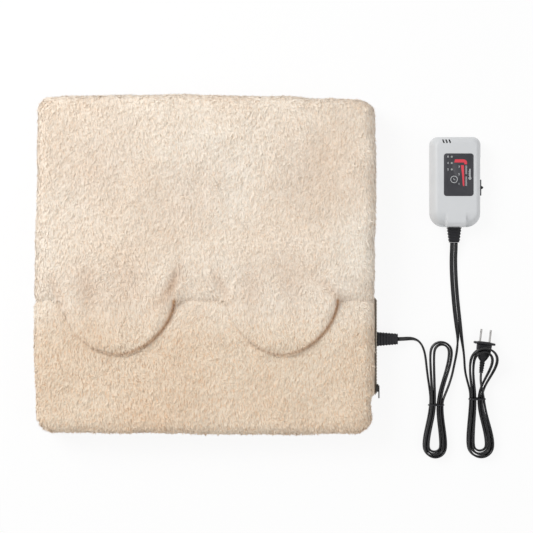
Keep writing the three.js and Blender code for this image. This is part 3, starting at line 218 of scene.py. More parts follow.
PLUG_LEAD = [
    (370.26, -179.3, 14.9, 1), (370, -175.4, 15.1, 1), (368.6, -169, 15, 1), (367.1, -161.4, 14.2, 1),
    (366.9, -154.8, 11.4, 1), (367.5, -149.3, 9, 1), (368.02, -145.4, 8.3, 1),
]
HEATER_HANK = {
    "width": HEATER_WIDTH, "waist": (308.1, -187.9), "top": (315.1, -118.3), "top_half": 15.9,
    "bottom": (306.4, -244), "bottom_half": 15.7, "end_lift": 0, "pitch": 3.15, "lobe_pitch": 3.5,
    "top_slack": 1, "top_slack_side": -0.7, "bottom_slack": 0, "bottom_slack_side": 0, "plug": False,
}
MAINS_HANK = {
    "width": MAINS_WIDTH, "waist": (362.5, -179.6), "top": (370.4, -129), "top_half": 19.6,
    "bottom": (367.9, -242), "bottom_half": 18, "end_lift": MAINS_WIDTH + LAYER_GAP, "pitch": 3.45,
    "lobe_pitch": 4.25, "top_slack": 1.5, "top_slack_side": 1, "bottom_slack": 0.3, "bottom_slack_side": 0.9,
    "plug": True,
}
WAIST_LIFT = 1.6
WAIST_REACH = 26

# Plug, as it lies
PLUG_X = 373
PLUG_Y = -103.4
PLUG_TILT = -0.12
FLANGE_THICKNESS = 3.6
FLANGE_HEIGHT = 16
BODY_LENGTH = 22
BODY_WIDTH = 20
BODY_HEIGHT = 12
GAP = 0.3


def ease(share):
    held = min(1.0, max(0.0, share))
    return held * held * (3 - 2 * held)


def plug_point(across, back):
    c, s = math.cos(PLUG_TILT), math.sin(PLUG_TILT)
    return PLUG_X + across * c + back * s, PLUG_Y + across * s - back * c


def plug_lift(x, y):
    ax, ay = plug_point(0, FLANGE_THICKNESS)
    bx, by = plug_point(0, FLANGE_THICKNESS + BODY_LENGTH * 0.4)
    run = (bx - ax) ** 2 + (by - ay) ** 2
    along = min(1, max(0, ((x - ax) * (bx - ax) + (y - ay) * (by - ay)) / run))
    distance = math.hypot(x - ax - along * (bx - ax), y - ay - along * (by - ay))
    top = FLANGE_HEIGHT / 2 + BODY_HEIGHT / 2 + 6 * GAP
    return top * (1 - ease((distance - BODY_WIDTH / 2 - 1) / 30))


def hank_point(hank, turn):
    """Middle of the cord after so many turns of a hank drawn together at its waist."""
    inward = min(turn, HANK_END - CLIMB_END + 3 * (CLIMB_END - turn))
    depth = inward if turn < CLIMB_END else HANK_END - turn
    place = (turn - math.floor(turn + 1e-9)) * 8
    waist = HANK_END * hank["pitch"] / 2 - hank["pitch"] * depth
    in_top = place > 4
    lobe = "top" if in_top else "bottom"
    loop = depth - 0.5 if in_top else depth
    nested = hank[lobe + "_half"] - hank["lobe_pitch"] * loop
    slack = hank[lobe + "_slack"] * ease((loop - 0.5) * 2)
    radius = nested - slack
    lobe_x = hank[lobe][0] - hank[lobe + "_slack_side"] * slack
    lobe_y = hank[lobe][1]
    half = place - 4 if in_top else place
    first = 1 if in_top else -1
    if half < 1 or half > 3:
        share = half if half < 1 else 4 - half
        side = first if half < 1 else -first
        eased = ease(share)
        x = hank["waist"][0] + eased * (lobe_x - hank["waist"][0]) + side * (waist + eased * (radius - waist))
        y = hank["waist"][1] + share * (lobe_y - hank["waist"][1])
    else:
        angle = math.pi * (half - 1) / 2
        x = lobe_x + first * radius * math.cos(angle)
        y = lobe_y + first * nested * math.sin(angle)
    climb = ease((turn - CLIMB_END + CLIMB_START_SHARE) / CLIMB_SHARE)
    last_climb = ease((turn - HANK_END + CLIMB_SHARE) / CLIMB_SHARE)
    near_waist = 1 - ease(abs(y - hank["waist"][1]) / WAIST_REACH)
    lift = plug_lift(x, y) if hank["plug"] else 0
    layer = hank["width"] + LAYER_GAP + LIFT_SPREAD * ease(lift / LIFT_SPREAD_START)
    z = LEAD_FLOOR + hank["width"] / 2 + climb * layer + last_climb * hank["end_lift"]
    return x, y, z + WAIST_LIFT * near_waist + lift, 1.0


def route(places, step=2.0):
    """Points a small step apart on a smooth curve through the chosen places."""
    knots = np.array(places, float)
    padded = np.vstack([2 * knots[0] - knots[1], knots, 2 * knots[-1] - knots[-2]])
    points = []
    for part in range(len(knots) - 1):
        p0, p1, p2, p3 = padded[part:part + 4]
        count = max(2, int(np.linalg.norm(p2[:3] - p1[:3]) / step))
        for t in np.arange(count) / count:
            points.append(0.5 * (2 * p1 + (p2 - p0) * t + (2 * p0 - 5 * p1 + 4 * p2 - p3) * t ** 2
                                 + (3 * p1 - p0 - 3 * p2 + p3) * t ** 3))
    points.append(knots[-1])
    return np.array(points)


def hank_route(hank):
    count = int(HANK_END * STEPS_PER_TURN)
    return np.array([hank_point(hank, step / STEPS_PER_TURN) for step in range(count + 1)])


def smoothed(points, rounds=6):
    """The same route with its small corners eased, its ends held."""
    for _ in range(rounds):
        points[1:-1] = 0.25 * points[:-2] + 0.5 * points[1:-1] + 0.25 * points[2:]
    return points


def lead_section(width, cores):
    """Outline of a flat cord: a row of round cores with a groove between each two."""
    count = 12 * cores
    outline = []
    core_radius = CORE_WIDTH / 2
    reach = width / 2 - core_radius
    centres = np.linspace(-reach, reach, cores)
    for step in range(count):
        angle = 2 * math.pi * step / count
        direction = np.array([math.cos(angle), math.sin(angle)])
        far = 0.0
        for centre in centres:
            along = centre * direction[1]
            across = centre * direction[0]
            inside = core_radius ** 2 - across ** 2
            if inside >= 0:
                far = max(far, along + math.sqrt(inside))
        outline.append((direction[0] * far, direction[1] * far))
    return outline


def tube_faces(rings, count):
    """Faces of a tube through so many rings of so many points."""
    faces = []
    for here in range(0, (rings - 1) * count, count):
        for step in range(count):
            beside = (step + 1) % count
            faces.append((here + step, here + beside, here + count + beside, here + count + step))
    return faces


def sweep_mesh(name, points, section):
    points = np.array(points, float)
    tangents = np.gradient(points[:, :3], axis=0)
    tangents /= np.linalg.norm(tangents, axis=1)[:, None]
    vertices = []
    for point, tangent in zip(points, tangents):
        side = np.array([tangent[1], -tangent[0], 0.0])
        side /= np.linalg.norm(side)
        up = np.array([0.0, 0.0, 1.0])
        angle = math.pi / 2 * point[3]
        thin = side * math.sin(angle) + up * math.cos(angle)
        wide = up * math.sin(angle) - side * math.cos(angle)
        for a, b in section:
            vertices.append((point[:3] - thin * a + wide * b) * MM)
    count = len(section)
    faces = tube_faces(len(points), count)
    faces.append(tuple(range(count))[::-1])
    last = (len(points) - 1) * count
    faces.append(tuple(range(last, last + count)))
    return mesh_object(name, vertices, faces)


def mesh_object(name, vertices, faces, smooth=True):
    mesh = bpy.data.meshes.new(name)
    mesh.from_pydata([tuple(v) for v in vertices], [], [tuple(f) for f in faces])
    mesh.validate()
    mesh.update()
    if smooth:
        mesh.polygons.foreach_set("use_smooth", [True] * len(mesh.polygons))
    return placed(name, mesh)


LEAD = grained_material("lead_vinyl", 0.3, [(8, 8, 10), (19, 19, 23)], (60, 2), (420, 4, 0.6), 0.00012, 0.5,
                        Specular_IOR_Level=0.4, Coat_Weight=0.15, Coat_Roughness=0.22)


def add_lead(name, points, width, cores, replaced):
    piece = dress(sweep_mesh(name, points, lead_section(width, cores)), "lead_set", "lead", LEAD, *replaced)
    path = [tuple(point[:3] * MM) for point in points]
    total = sum(math.dist(a, b) for a, b in zip(path, path[1:]))
    print(f"{name} runs {total:.3f} m")


# Fleece foot bag. Millimetres in plan; a place past the flat top wraps down over the bag's edge
HALF_X = 225.0
HALF_Y = 223.5
EDGE_REACH = 26.0
FLAT_X = HALF_X - EDGE_REACH
FLAT_Y = HALF_Y - EDGE_REACH
SEAM_Y = -47.0
TOE_TOP = 60.6
HEEL_TOP = 50.2
SIDE_HEIGHT = 30.0
TOP_SIDE = 40.0
SEAM_DIP = 8.0
SEAM_REACH = 24.0
GRID = 1.4
TONGUES = {"left": (-113.0, 74.0), "right": (101.0, 72.0)}
TONGUE_DEPTH = 70.0
TONGUE_FLOOR = 51.0
TONGUE_FULLNESS = 1.75
STRIP = 18 * GRID
SEAM_PINCH = 1.1
DENTS = [
    (-150, -30, 16, 30, 0.2, 1.5), (-100, -22, 22, 34, -0.15, 1.2), (-48, -36, 30, 7, 0.9, 1.6),
    (-40, -22, 26, 6, 1.25, 1.8), (60, -30, 14, 32, 0.1, 1.2), (112, -18, 24, 36, 0.1, 1.1),
    (165, -34, 26, 7, -0.7, 1.4), (24, -30, 24, 6, -1.1, 1.5), (-190, -36, 24, 7, -1.2, 1.2),
    (-20, 90, 60, 40, 0.6, 0.9), (140, 120, 50, 60, -0.4, 1.0), (-140, 130, 60, 50, 0.3, 0.8),
]
CONNECTOR_Y = -99.6
CONNECTOR_WIDTH = 20.3
CONNECTOR_TOP = 17.0
ZIP_TOP_Y = -41.0
ZIP_END_Y = -173.0
ZIP_LOW = 18.0
ZIP_HIGH = 35.0
ZIP_X = 223.3
HOLE_LAP = 13.0
EDGE_PROFILE = [
    (0, 62), (9, 61.4), (16.5, 58.4), (22, 52), (25, 43), (26, 32), (25.4, 20), (23, 10), (18.5, 3.6),
    (13, 1.9),
]


def edge_profile():
    """Reach past the flat top and height, at even steps along the wrap, and the wrap's length."""
    points = route([(a, b, 0, 0) for a, b in EDGE_PROFILE], 0.5)[:, :2]
    lengths = np.concatenate([[0], np.cumsum(np.linalg.norm(np.diff(points, axis=0), axis=1))])
    return lengths, points


PROFILE_LENGTHS, PROFILE_POINTS = edge_profile()
WRAP = PROFILE_LENGTHS[-1]


HASH_X = 374761393
HASH_Y = 668265263
HASH_SEED = 974634777
HASH_MIX = 1274126177
LOW_32 = 0xFFFFFFFF
LOW_24 = 0xFFFFFF


def lattice(ix, iy, seed):
    """A fixed random number from 0 to 1 for each cell of a lattice."""
    value = ix.astype(np.int64) * HASH_X + iy.astype(np.int64) * HASH_Y + seed * HASH_SEED & LOW_32
    value = (value ^ (value >> 13)) * HASH_MIX & LOW_32
    return ((value ^ (value >> 16)) & LOW_24) / LOW_24


def soft_noise(x, y, cell, seed):
    """Smooth noise from -1 to 1 with features about one cell wide."""
    px, py = x / cell, y / cell
    ix, iy = np.floor(px), np.floor(py)
    fx, fy = px - ix, py - iy
    ux, uy = fx * fx * (3 - 2 * fx), fy * fy * (3 - 2 * fy)
    low = lattice(ix, iy, seed) * (1 - ux) + lattice(ix + 1, iy, seed) * ux
    high = lattice(ix, iy + 1, seed) * (1 - ux) + lattice(ix + 1, iy + 1, seed) * ux
    return 2 * (low * (1 - uy) + high * uy) - 1


def tuft_noise(x, y, cell, seed, stretch=1.9):
    """Height from 0 to 1 of short tufts, each a little dome stretched its own way."""
    px, py = x / cell, y / cell
    ix, iy = np.floor(px), np.floor(py)
    best = np.full(x.shape, 9.0)
    for dx in (-1, 0, 1):
        for dy in (-1, 0, 1):
            cx, cy = ix + dx, iy + dy
            away_x = px - cx - lattice(cx, cy, seed)
            away_y = py - cy - lattice(cx, cy, seed + 1)
            turn = (lattice(cx, cy, seed + 2) - 0.5) * 2.0
            along = away_x * np.sin(turn) + away_y * np.cos(turn)
            across = away_x * np.cos(turn) - away_y * np.sin(turn)
            size = 0.8 + 0.5 * lattice(cx, cy, seed + 3)
            best = np.minimum(best, ((along / stretch) ** 2 + across ** 2) / size ** 2)
    return np.clip(1 - 1.9 * best, -0.15, 1)


def fleece_height(x, y):
    """How far the fleece stands out at a place, tufts and all."""
    warp_x = x + 1.6 * soft_noise(x, y, 7, 11) + 0.8 * soft_noise(x, y, 3, 12)
    warp_y = y + 1.6 * soft_noise(x, y, 7, 13) + 0.8 * soft_noise(x, y, 3, 14)
    tufts = 1.25 * tuft_noise(warp_x, warp_y, 4.6, 21) + 0.75 * tuft_noise(warp_y, -warp_x, 3.0, 31, 1.5)
    clumps = 0.5 * soft_noise(x, y, 11, 41) + 0.45 * soft_noise(x, y, 2.2, 42)
    return tufts + clumps - 0.7


def undulation(x, y):
    return 1.3 * soft_noise(x, y, 95, 51) + 0.8 * soft_noise(x, y, 42, 52) + 0.35 * soft_noise(x, y, 20, 53)


def tongue_share(x):
    shares = [np.abs(x - middle) / half for middle, half in TONGUES.values()]
    return np.minimum(*shares)


def eased(values):
    held = np.clip(values, 0, 1)
    return held * held * (3 - 2 * held)


def dents(x, y):
    """Soft hollows and folds in the cover, deepest by the tongues' roots."""
    total = 0 * x
    for px, py, along, across, turn, depth in DENTS:
        dx, dy = x - px, y - py
        u = (dx * math.cos(turn) + dy * math.sin(turn)) / along
        v = (dy * math.cos(turn) - dx * math.sin(turn)) / across
        total = total + depth * np.exp(-u * u - v * v)
    return total


def top_height(x, y, toe):
    """Height of the bag's flat top: lower at the heel, drawn down along the seam."""
    beside = eased((tongue_share(x) - 1) / 0.34 + 0.42)
    if not toe:
        pinch = SEAM_PINCH * np.exp(-((y - SEAM_Y) / 7) ** 2) * beside
        return HEEL_TOP + 2.2 * eased((SEAM_Y - y) / 60) - pinch
    draw = np.exp(-((y - SEAM_Y) / SEAM_REACH) ** 2)
    pinch = np.exp(-((y - SEAM_Y) / 5) ** 2)
    seam = TOE_TOP - HEEL_TOP - SEAM_DIP + SEAM_PINCH
    return TOE_TOP - (SEAM_DIP * draw + seam * pinch) * beside - dents(x, y)


# How far the bag's outline lies inside a plain square, at places along each side
DRAWN_IN = {
    "left": [
        (-206, 5), (-186, 4), (-150, 4.6), (-120, 2.6), (-66, 2.8), (-27, 3), (32, 4), (72, 6.2), (150, 7.2),
        (206, 8),
    ],
    "right": [
        (-206, 7), (-182, 9), (-165, 5), (-120, 4), (-66, 4.6), (-27, 3.4), (32, 4.4), (72, 2), (150, 3),
        (206, 5),
    ],
    "heel": [(-206, 5), (-110, 4.8), (-60, 4), (40, 2.8), (100, 3), (150, 4), (206, 4)],
    "toe": [
        (-206, 6), (-150, 2.4), (-110, 3.4), (-60, 1.6), (0, 2), (50, 4.6), (100, 4.8), (150, 8), (206, 9),
    ],
}


def drawn_in(along, side):
    places, amounts = zip(*DRAWN_IN[side])
    return np.interp(along, places, amounts)


def wrapped(x, y, toe):
    """Places on the bag for places on its flattened cover."""
    held_x, held_y = np.clip(x, -FLAT_X, FLAT_X), np.clip(y, -FLAT_Y, FLAT_Y)
    out_x, out_y = x - held_x, y - held_y
    past = np.hypot(out_x, out_y)
    notch = 2.4 * np.exp(-((y - SEAM_Y) / 5) ** 2)
    safe = np.maximum(past, 1e-9)
    height = np.interp(past, PROFILE_LENGTHS, PROFILE_POINTS[:, 1])
    side = np.where(x < 0, drawn_in(y, "left"), drawn_in(y, "right"))
    end = np.where(y < 0, drawn_in(x, "heel"), drawn_in(x, "toe"))
    draw = ((out_x / safe) ** 2 * side + (out_y / safe) ** 2 * end) * eased((height - 3) / 17)
    uneven = 1.2 * soft_noise(x, y, 38, 61) + 0.8 * soft_noise(x, y, 15, 62)
    wave = 1 + (uneven - notch - draw) / EDGE_REACH
    reach = np.interp(past, PROFILE_LENGTHS, PROFILE_POINTS[:, 0]) * wave
    px = held_x + out_x / safe * reach
    py = held_y + out_y / safe * reach
    seam_calm = 1 - np.exp(-((py - SEAM_Y) / 12) ** 2)
    top = top_height(px, py, toe) + undulation(px, py) * seam_calm
    scale = (top - SIDE_HEIGHT) / (EDGE_PROFILE[0][1] - SIDE_HEIGHT)
    pz = np.where(height > SIDE_HEIGHT, SIDE_HEIGHT + (height - SIDE_HEIGHT) * scale, height)
    return np.stack([px, py, pz], axis=-1)


def grid_normals(places):
    along = np.gradient(places, axis=0)
    across = np.gradient(places, axis=1)
    normals = np.cross(across, along)
    lengths = np.linalg.norm(normals, axis=-1, keepdims=True)
    return normals / np.maximum(lengths, 1e-9)


def relieved(places, x, y, keep=1.0):
    """Places moved out along the surface by the fleece's own height."""
    normals = grid_normals(places)
    return places + normals * (fleece_height(x, y) * keep)[..., None]


def grid_lines(low, high):
    count = int(round((high - low) / GRID))
    return low + np.arange(count + 1) * (high - low) / count


def tongue_line_distance(x, y):
    """Distance in plan from the nearest tongue's outline, and how far round to its right side that is."""
    best, side = np.full(x.shape, 99.0), np.zeros(x.shape)
    for middle, half in TONGUES.values():
        share = np.linspace(0, 1, 90)
        along = np.sin(share * math.pi / 2)
        for sign in (-1, 1):
            px = middle + sign * hole_half_width(half, along)
            py = SEAM_Y - along * TONGUE_DEPTH
            for qx, qy in zip(px, py):
                away = np.hypot(x - qx, y - qy)
                nearer = away < best
                best = np.where(nearer, away, best)
                side = np.where(nearer, (qx - middle) / half, side)
    return best, side


def painted_crease_shade(x, y, z):
    """Painted crease shade, from 1 in a crease to 0 on open fleece: darkest along the tongues' outlines, more
    on their right sides, fainter along the seam and in the dents' hollows.
    """
    value = np.zeros(x.shape)
    near = (np.abs(y - SEAM_Y + TONGUE_DEPTH / 2) < TONGUE_DEPTH / 2 + 12) & (z > SIDE_HEIGHT)
    away, side = tongue_line_distance(x[near], y[near])
    value[near] = (0.46 + 0.5 * side) * np.exp(-(away / 2.4) ** 2)
    beside = eased((tongue_share(x) - 1) / 0.1 + 0.5)
    # Painted shade along the seam and in the dents' hollows
    seam = np.where(x < -180, 0.0, 0.11) * beside * np.exp(-((y - SEAM_Y) / 1.8) ** 2)
    hollow_shade = 0.16 * dents(x, y) * (z > SIDE_HEIGHT)
    return np.clip(np.maximum(value, seam) + hollow_shade, 0, 1)


def add_painted_shade(piece):
    """Keep with each vertex its painted crease shade, and how far it has the heel half's warmer tone, for the
    material.
    """
    count = len(piece.data.vertices)
    places = np.empty(count * 3)
    piece.data.vertices.foreach_get("co", places)
    x, y, z = places.reshape(-1, 3).T / MM
    for name, values in (("shade", painted_crease_shade(x, y, z)), ("warmth", eased((-y - 26) / 92))):
        attribute = piece.data.attributes.new(name, "FLOAT", "POINT")
        attribute.data.foreach_set("value", values)


def cells_of(shape, first=0, flipped=False):
    index = first + np.arange(shape[0] * shape[1]).reshape(shape)
    cells = [index[:-1, :-1], index[:-1, 1:], index[1:, 1:], index[1:, :-1]]
    return np.stack(cells[::-1] if flipped else cells, axis=-1).reshape(-1, 4)


def grid_object(name, places, kept=None):
    """A mesh over a grid of places; kept says which cells stay."""
    cells = cells_of(places.shape[:2])
    if kept is not None:
        cells = cells[kept.ravel()]
    return array_object(name, places.reshape(-1, 3), cells)


def array_object(name, vertices, faces):
    """A mesh from arrays, without vertices that no face uses."""
    used, compact = np.unique(faces, return_inverse=True)
    mesh = bpy.data.meshes.new(name)
    mesh.from_pydata((vertices[used] * MM).tolist(), [], compact.reshape(faces.shape).tolist())
    mesh.validate()
    mesh.polygons.foreach_set("use_smooth", [True] * len(mesh.polygons))
    return placed(name, mesh)


# Brown painted into the fleece's creases and hollows as painted shade
PAINTED_CREASE_SHADE = (196, 150, 108)
WARM_TINT = (0.94, 0.885, 0.815)
# How strongly shade is painted into the gaps between tufts, at the toe and at the heel
TOE_GAP_SHADE_STRENGTH = 0.28
HEEL_GAP_SHADE_STRENGTH = 0.52
# The first colour is painted shade in the gaps between tufts; the other two are the fleece's own tones
FLEECE_GAP_SHADE_AND_TONES = [(236, 206, 175), (243, 228, 210), (249, 239, 226)]


def fleece_material(name, lightness):
    material, tree, shader, place = new_material(
        name, 0.95, Sheen_Weight=0.35, Sheen_Roughness=0.5, Specular_IOR_Level=0.1)
    shade = [linear(*(min(255, c * lightness) for c in rgb)) for rgb in FLEECE_GAP_SHADE_AND_TONES]
    broad = ramp(tree, noise(tree, place, 9, 2), [(0.3, shade[1]), (0.7, shade[2])])
    streak = noise(tree, place, 520, 2, 0.55, 0.5, (1, 0.3, 1))
    # Painted shade: the low parts of the tuft relief are coloured darker and browner
    tuft_gap_shade = ramp(tree, streak, [(0.34, shade[0]), (0.5, (1, 1, 1))])
    warmth = kept_value(tree, "warmth")
    depth = add_node(tree, "MapRange", To_Min=TOE_GAP_SHADE_STRENGTH, To_Max=HEEL_GAP_SHADE_STRENGTH, Value=warmth).outputs["Result"]
    tint = mixed(tree, (1, 1, 1, 1), (*WARM_TINT, 1), warmth)
    pile = mixed(tree, mixed(tree, broad, tuft_gap_shade, depth, "MULTIPLY"), tint, 1.0, "MULTIPLY")
    # Mix in the painted crease shade kept with each vertex
    colour = mixed(tree, pile, (*linear(*PAINTED_CREASE_SHADE), 1), kept_value(tree, "shade"))
    curl = noise(tree, place, 900, 3, 0.65, 1.2, (1, 0.4, 1))
    relief = bump(tree, streak, 0.0012, 0.8, bump(tree, curl, 0.0006, 0.6))
    feed(tree, shader, Base_Color=colour, Normal=relief)
    return material


FLEECE = fleece_material("fleece", 1.0)
PILE = fleece_material("fleece_pile", 1.03)


def dress_bag_piece(piece, *nodes, material=FLEECE, body="bag"):
    dress(piece, body, "fleece", material, *nodes)
    add_painted_shade(piece)


PILE_SPACING = 1.95
PILE_BEND = [0, 0.4, 0.78, 1.0]
PILE_RISE = [-0.5, 0.75, 1.25, 1.0]
PILE_LONGEST = 6.4
PILE_FLOOR = 0.2
PILE_FROM = 4.0
PILE_WIDTH = [0.75, 0.8, 0.6, 0.12]


def pile_on(places, kept, seed):
    """Vertices and faces of short curled tufts rooted over a grid of places."""
    random = np.random.default_rng(seed)
    rows, columns = places.shape[0] - 1, places.shape[1] - 1
    count = int(rows * columns * (GRID / PILE_SPACING) ** 2)
    row, column = random.uniform(0, rows, count), random.uniform(0, columns, count)
    i, j = row.astype(int), column.astype(int)
    use = kept[i, j]
    row, column, i, j = row[use], column[use], i[use], j[use]
    a, b = (row - i)[:, None], (column - j)[:, None]
    root = (places[i, j] * (1 - a) * (1 - b) + places[i, j + 1] * (1 - a) * b
            + places[i + 1, j] * a * (1 - b) + places[i + 1, j + 1] * a * b)
    normals = grid_normals(places)[i, j]
    count = len(root)
    turn = 0.75 * soft_noise(root[:, 0], root[:, 1], 30, seed) + random.normal(0, 0.45, count)
    lie = np.stack([np.sin(turn), -np.cos(turn), np.zeros(count)], axis=1)
    lie -= normals * (lie * normals).sum(axis=1, keepdims=True)
    lie[np.linalg.norm(lie, axis=1) < 0.3] += np.array([0, 0, -1.0])
    lie /= np.maximum(np.linalg.norm(lie, axis=1, keepdims=True), 1e-9)
    side = np.cross(normals, lie)
    length = random.uniform(3.4, PILE_LONGEST, count)[:, None]
    width = random.uniform(0.5, 0.95, count)[:, None]
    rise = random.uniform(0.45, 1.0, count)[:, None]
    bend = random.normal(0, 0.7, count)[:, None]
    rings = []
    for along, up, wide in zip(PILE_BEND, PILE_RISE, PILE_WIDTH):
        centre = root + lie * length * along + normals * rise * up + side * bend * along ** 2
        rings.append(np.stack([centre - side * width * wide, centre + side * width * wide], axis=1))
    vertices = np.concatenate(rings, axis=1).reshape(-1, 3)
    vertices[:, 2] = np.maximum(vertices[:, 2], PILE_FLOOR)
    first = (np.arange(count) * 8)[:, None]
    faces = np.concatenate([first + np.array([k, k + 1, k + 3, k + 2]) for k in (0, 2, 4)])
    return vertices, faces


def cell_middles(places):
    return (places[:-1, :-1] + places[1:, 1:]) / 2


def near_connector(places):
    """Cells of the cover that would lie across the connector's mouth."""
    middle = cell_middles(places)
    beside = np.abs(middle[..., 1] - CONNECTOR_Y) < CONNECTOR_WIDTH / 2 + 1
    return beside & (middle[..., 0] > HALF_X - 12) & (middle[..., 2] < CONNECTOR_TOP)


def past_corner(x, y):
    """Places further past a corner of the flat top than the cover reaches."""
    return np.hypot(np.abs(x).clip(FLAT_X) - FLAT_X, np.abs(y).clip(FLAT_Y) - FLAT_Y) > WRAP


def add_pile(name, places, kept, seed):
    middle = cell_middles(places)
    tufts = pile_on(places, kept & (middle[..., 2] > PILE_FROM) & clear_of_zip(middle), seed)
    dress_bag_piece(array_object(name, *tufts), material=PILE)


def press_zip_in(places):
    """Draw the cover back where the zip shows at the bag's side."""
    x, y, z = places[..., 0], places[..., 1], places[..., 2]
    tall = eased((z - ZIP_LOW) / 4) * eased((ZIP_HIGH - z) / 4)
    long = eased((ZIP_TOP_Y - y) / 5 + 0.5) * eased((y - ZIP_END_Y) / 5 + 0.5)
    press = tall * long * (x > HALF_X - EDGE_REACH / 2)
    places[..., 0] = x - press * (x - ZIP_X)
    return places


def clear_of_zip(middle):
    """Cells whose pile stays out of the way of the zip's slider."""
    along = (middle[..., 1] > ZIP_END_Y - 2) & (middle[..., 1] < ZIP_TOP_Y + PILE_LONGEST)
    tall = (middle[..., 2] > ZIP_LOW + 2) & (middle[..., 2] < ZIP_HIGH)
    return ~(along & tall & (middle[..., 0] > HALF_X - EDGE_REACH / 2))


def hole_half_width(half, share):
    return half * (1 - np.minimum(1, share) ** TONGUE_FULLNESS) ** (1 / TONGUE_FULLNESS)


def in_foot_hole(x, y):
    inside = np.zeros(x.shape, bool)
    for middle, half in TONGUES.values():
        share = (SEAM_Y - y) / (TONGUE_DEPTH - HOLE_LAP)
        width = hole_half_width(half - HOLE_LAP, np.clip(share, 0, 1))
        inside |= (np.abs(x - middle) < width) & (share < 1) & (share > -1)
    return inside


def make_heel_cover():
    x, y = np.meshgrid(grid_lines(-FLAT_X - WRAP, FLAT_X + WRAP), grid_lines(-FLAT_Y - WRAP, SEAM_Y))
    places = press_zip_in(relieved(wrapped(x, y, False), x, y))
    middle = cell_middles(places)
    far = past_corner(x, y)
    kept = ~(in_foot_hole(middle[..., 0], middle[..., 1]) & (middle[..., 2] > TOP_SIDE))
    kept &= ~near_connector(places) & ~(far[:-1, :-1] & far[1:, 1:])
    dress_bag_piece(grid_object("heel_fleece", places, kept), "heel_cover", "side_band")
    add_pile("heel_pile", places, kept, 101)


def make_hole_hem(side):
    """Rolled hem along the edge of a foot hole, from the seam round to the seam."""
    middle, half = TONGUES[side]
    share = np.sin(np.linspace(0, 1, 60) * math.pi / 2)
    reach = hole_half_width(half - HOLE_LAP, share)
    along = SEAM_Y - share * (TONGUE_DEPTH - HOLE_LAP)
    x = np.concatenate([middle - reach, (middle + reach)[::-1][1:]])
    y = np.concatenate([along, along[::-1][1:]])
    line = np.stack([x, y, np.full(x.shape, HEEL_TOP - 2.0)], axis=-1)
    tangent = np.gradient(line, axis=0)
    tangent /= np.linalg.norm(tangent, axis=1, keepdims=True)
    out = np.stack([tangent[:, 1], -tangent[:, 0], 0 * x], axis=-1)
    rings = []
    for angle in np.linspace(0, 2 * math.pi, 17):
        rings.append(line + out * 2.2 * math.cos(angle) + np.array([0, 0, 1.7]) * math.sin(angle))
    grid = np.stack(rings, axis=1)
    hem = grid_object(f"{side}_hole_hem", relieved(grid, grid[..., 0], grid[..., 1] + grid[..., 2], 0.25))
    dress_bag_piece(hem)


def toe_grid():
    x, y = np.meshgrid(grid_lines(-FLAT_X - WRAP, FLAT_X + WRAP), grid_lines(SEAM_Y, FLAT_Y + WRAP))
    return x, y, press_zip_in(relieved(wrapped(x, y, True), x, y))


def with_skirt(places):
    """Rows below the seam's edge that close the step between the covers."""
    steps = []
    foot = HEEL_TOP - SEAM_PINCH - 2.5
    for share in (1, 0.66, 0.33):
        row = places[0].copy()
        row[:, 2] -= share * np.clip(row[:, 2] - foot, 0, None) * (row[:, 2] > TOP_SIDE)
        row[:, 1] += share * 0.8
        steps.append(row)
    return np.concatenate([steps, places])


def tongue_columns(x, side):
    middle, half = TONGUES[side]
    columns = np.nonzero(np.abs(x[0] - middle) <= half)[0]
    return columns[0], columns[-1]


def make_toe_cover(x, y, places):
    far = past_corner(x, y)
    kept = ~(far[:-1, :-1] & far[1:, 1:])
    skirt = np.ones((3, kept.shape[1]), bool)
    skirt[:, far[0][:-1] & far[0][1:]] = False
    for side in TONGUES:
        first, last = tongue_columns(x, side)
        kept[:int(round(STRIP / GRID)), first:last] = False
        skirt[:, first:last] = False
    piece = grid_object("toe_fleece", with_skirt(places), np.concatenate([skirt, kept]))
    dress_bag_piece(piece, "toe_cover")
    left = cell_middles(places)[..., 0] <= 0
    add_pile("toe_pile_left", places, kept & left, 102)
    add_pile("toe_pile_right", places, kept & ~left, 104)


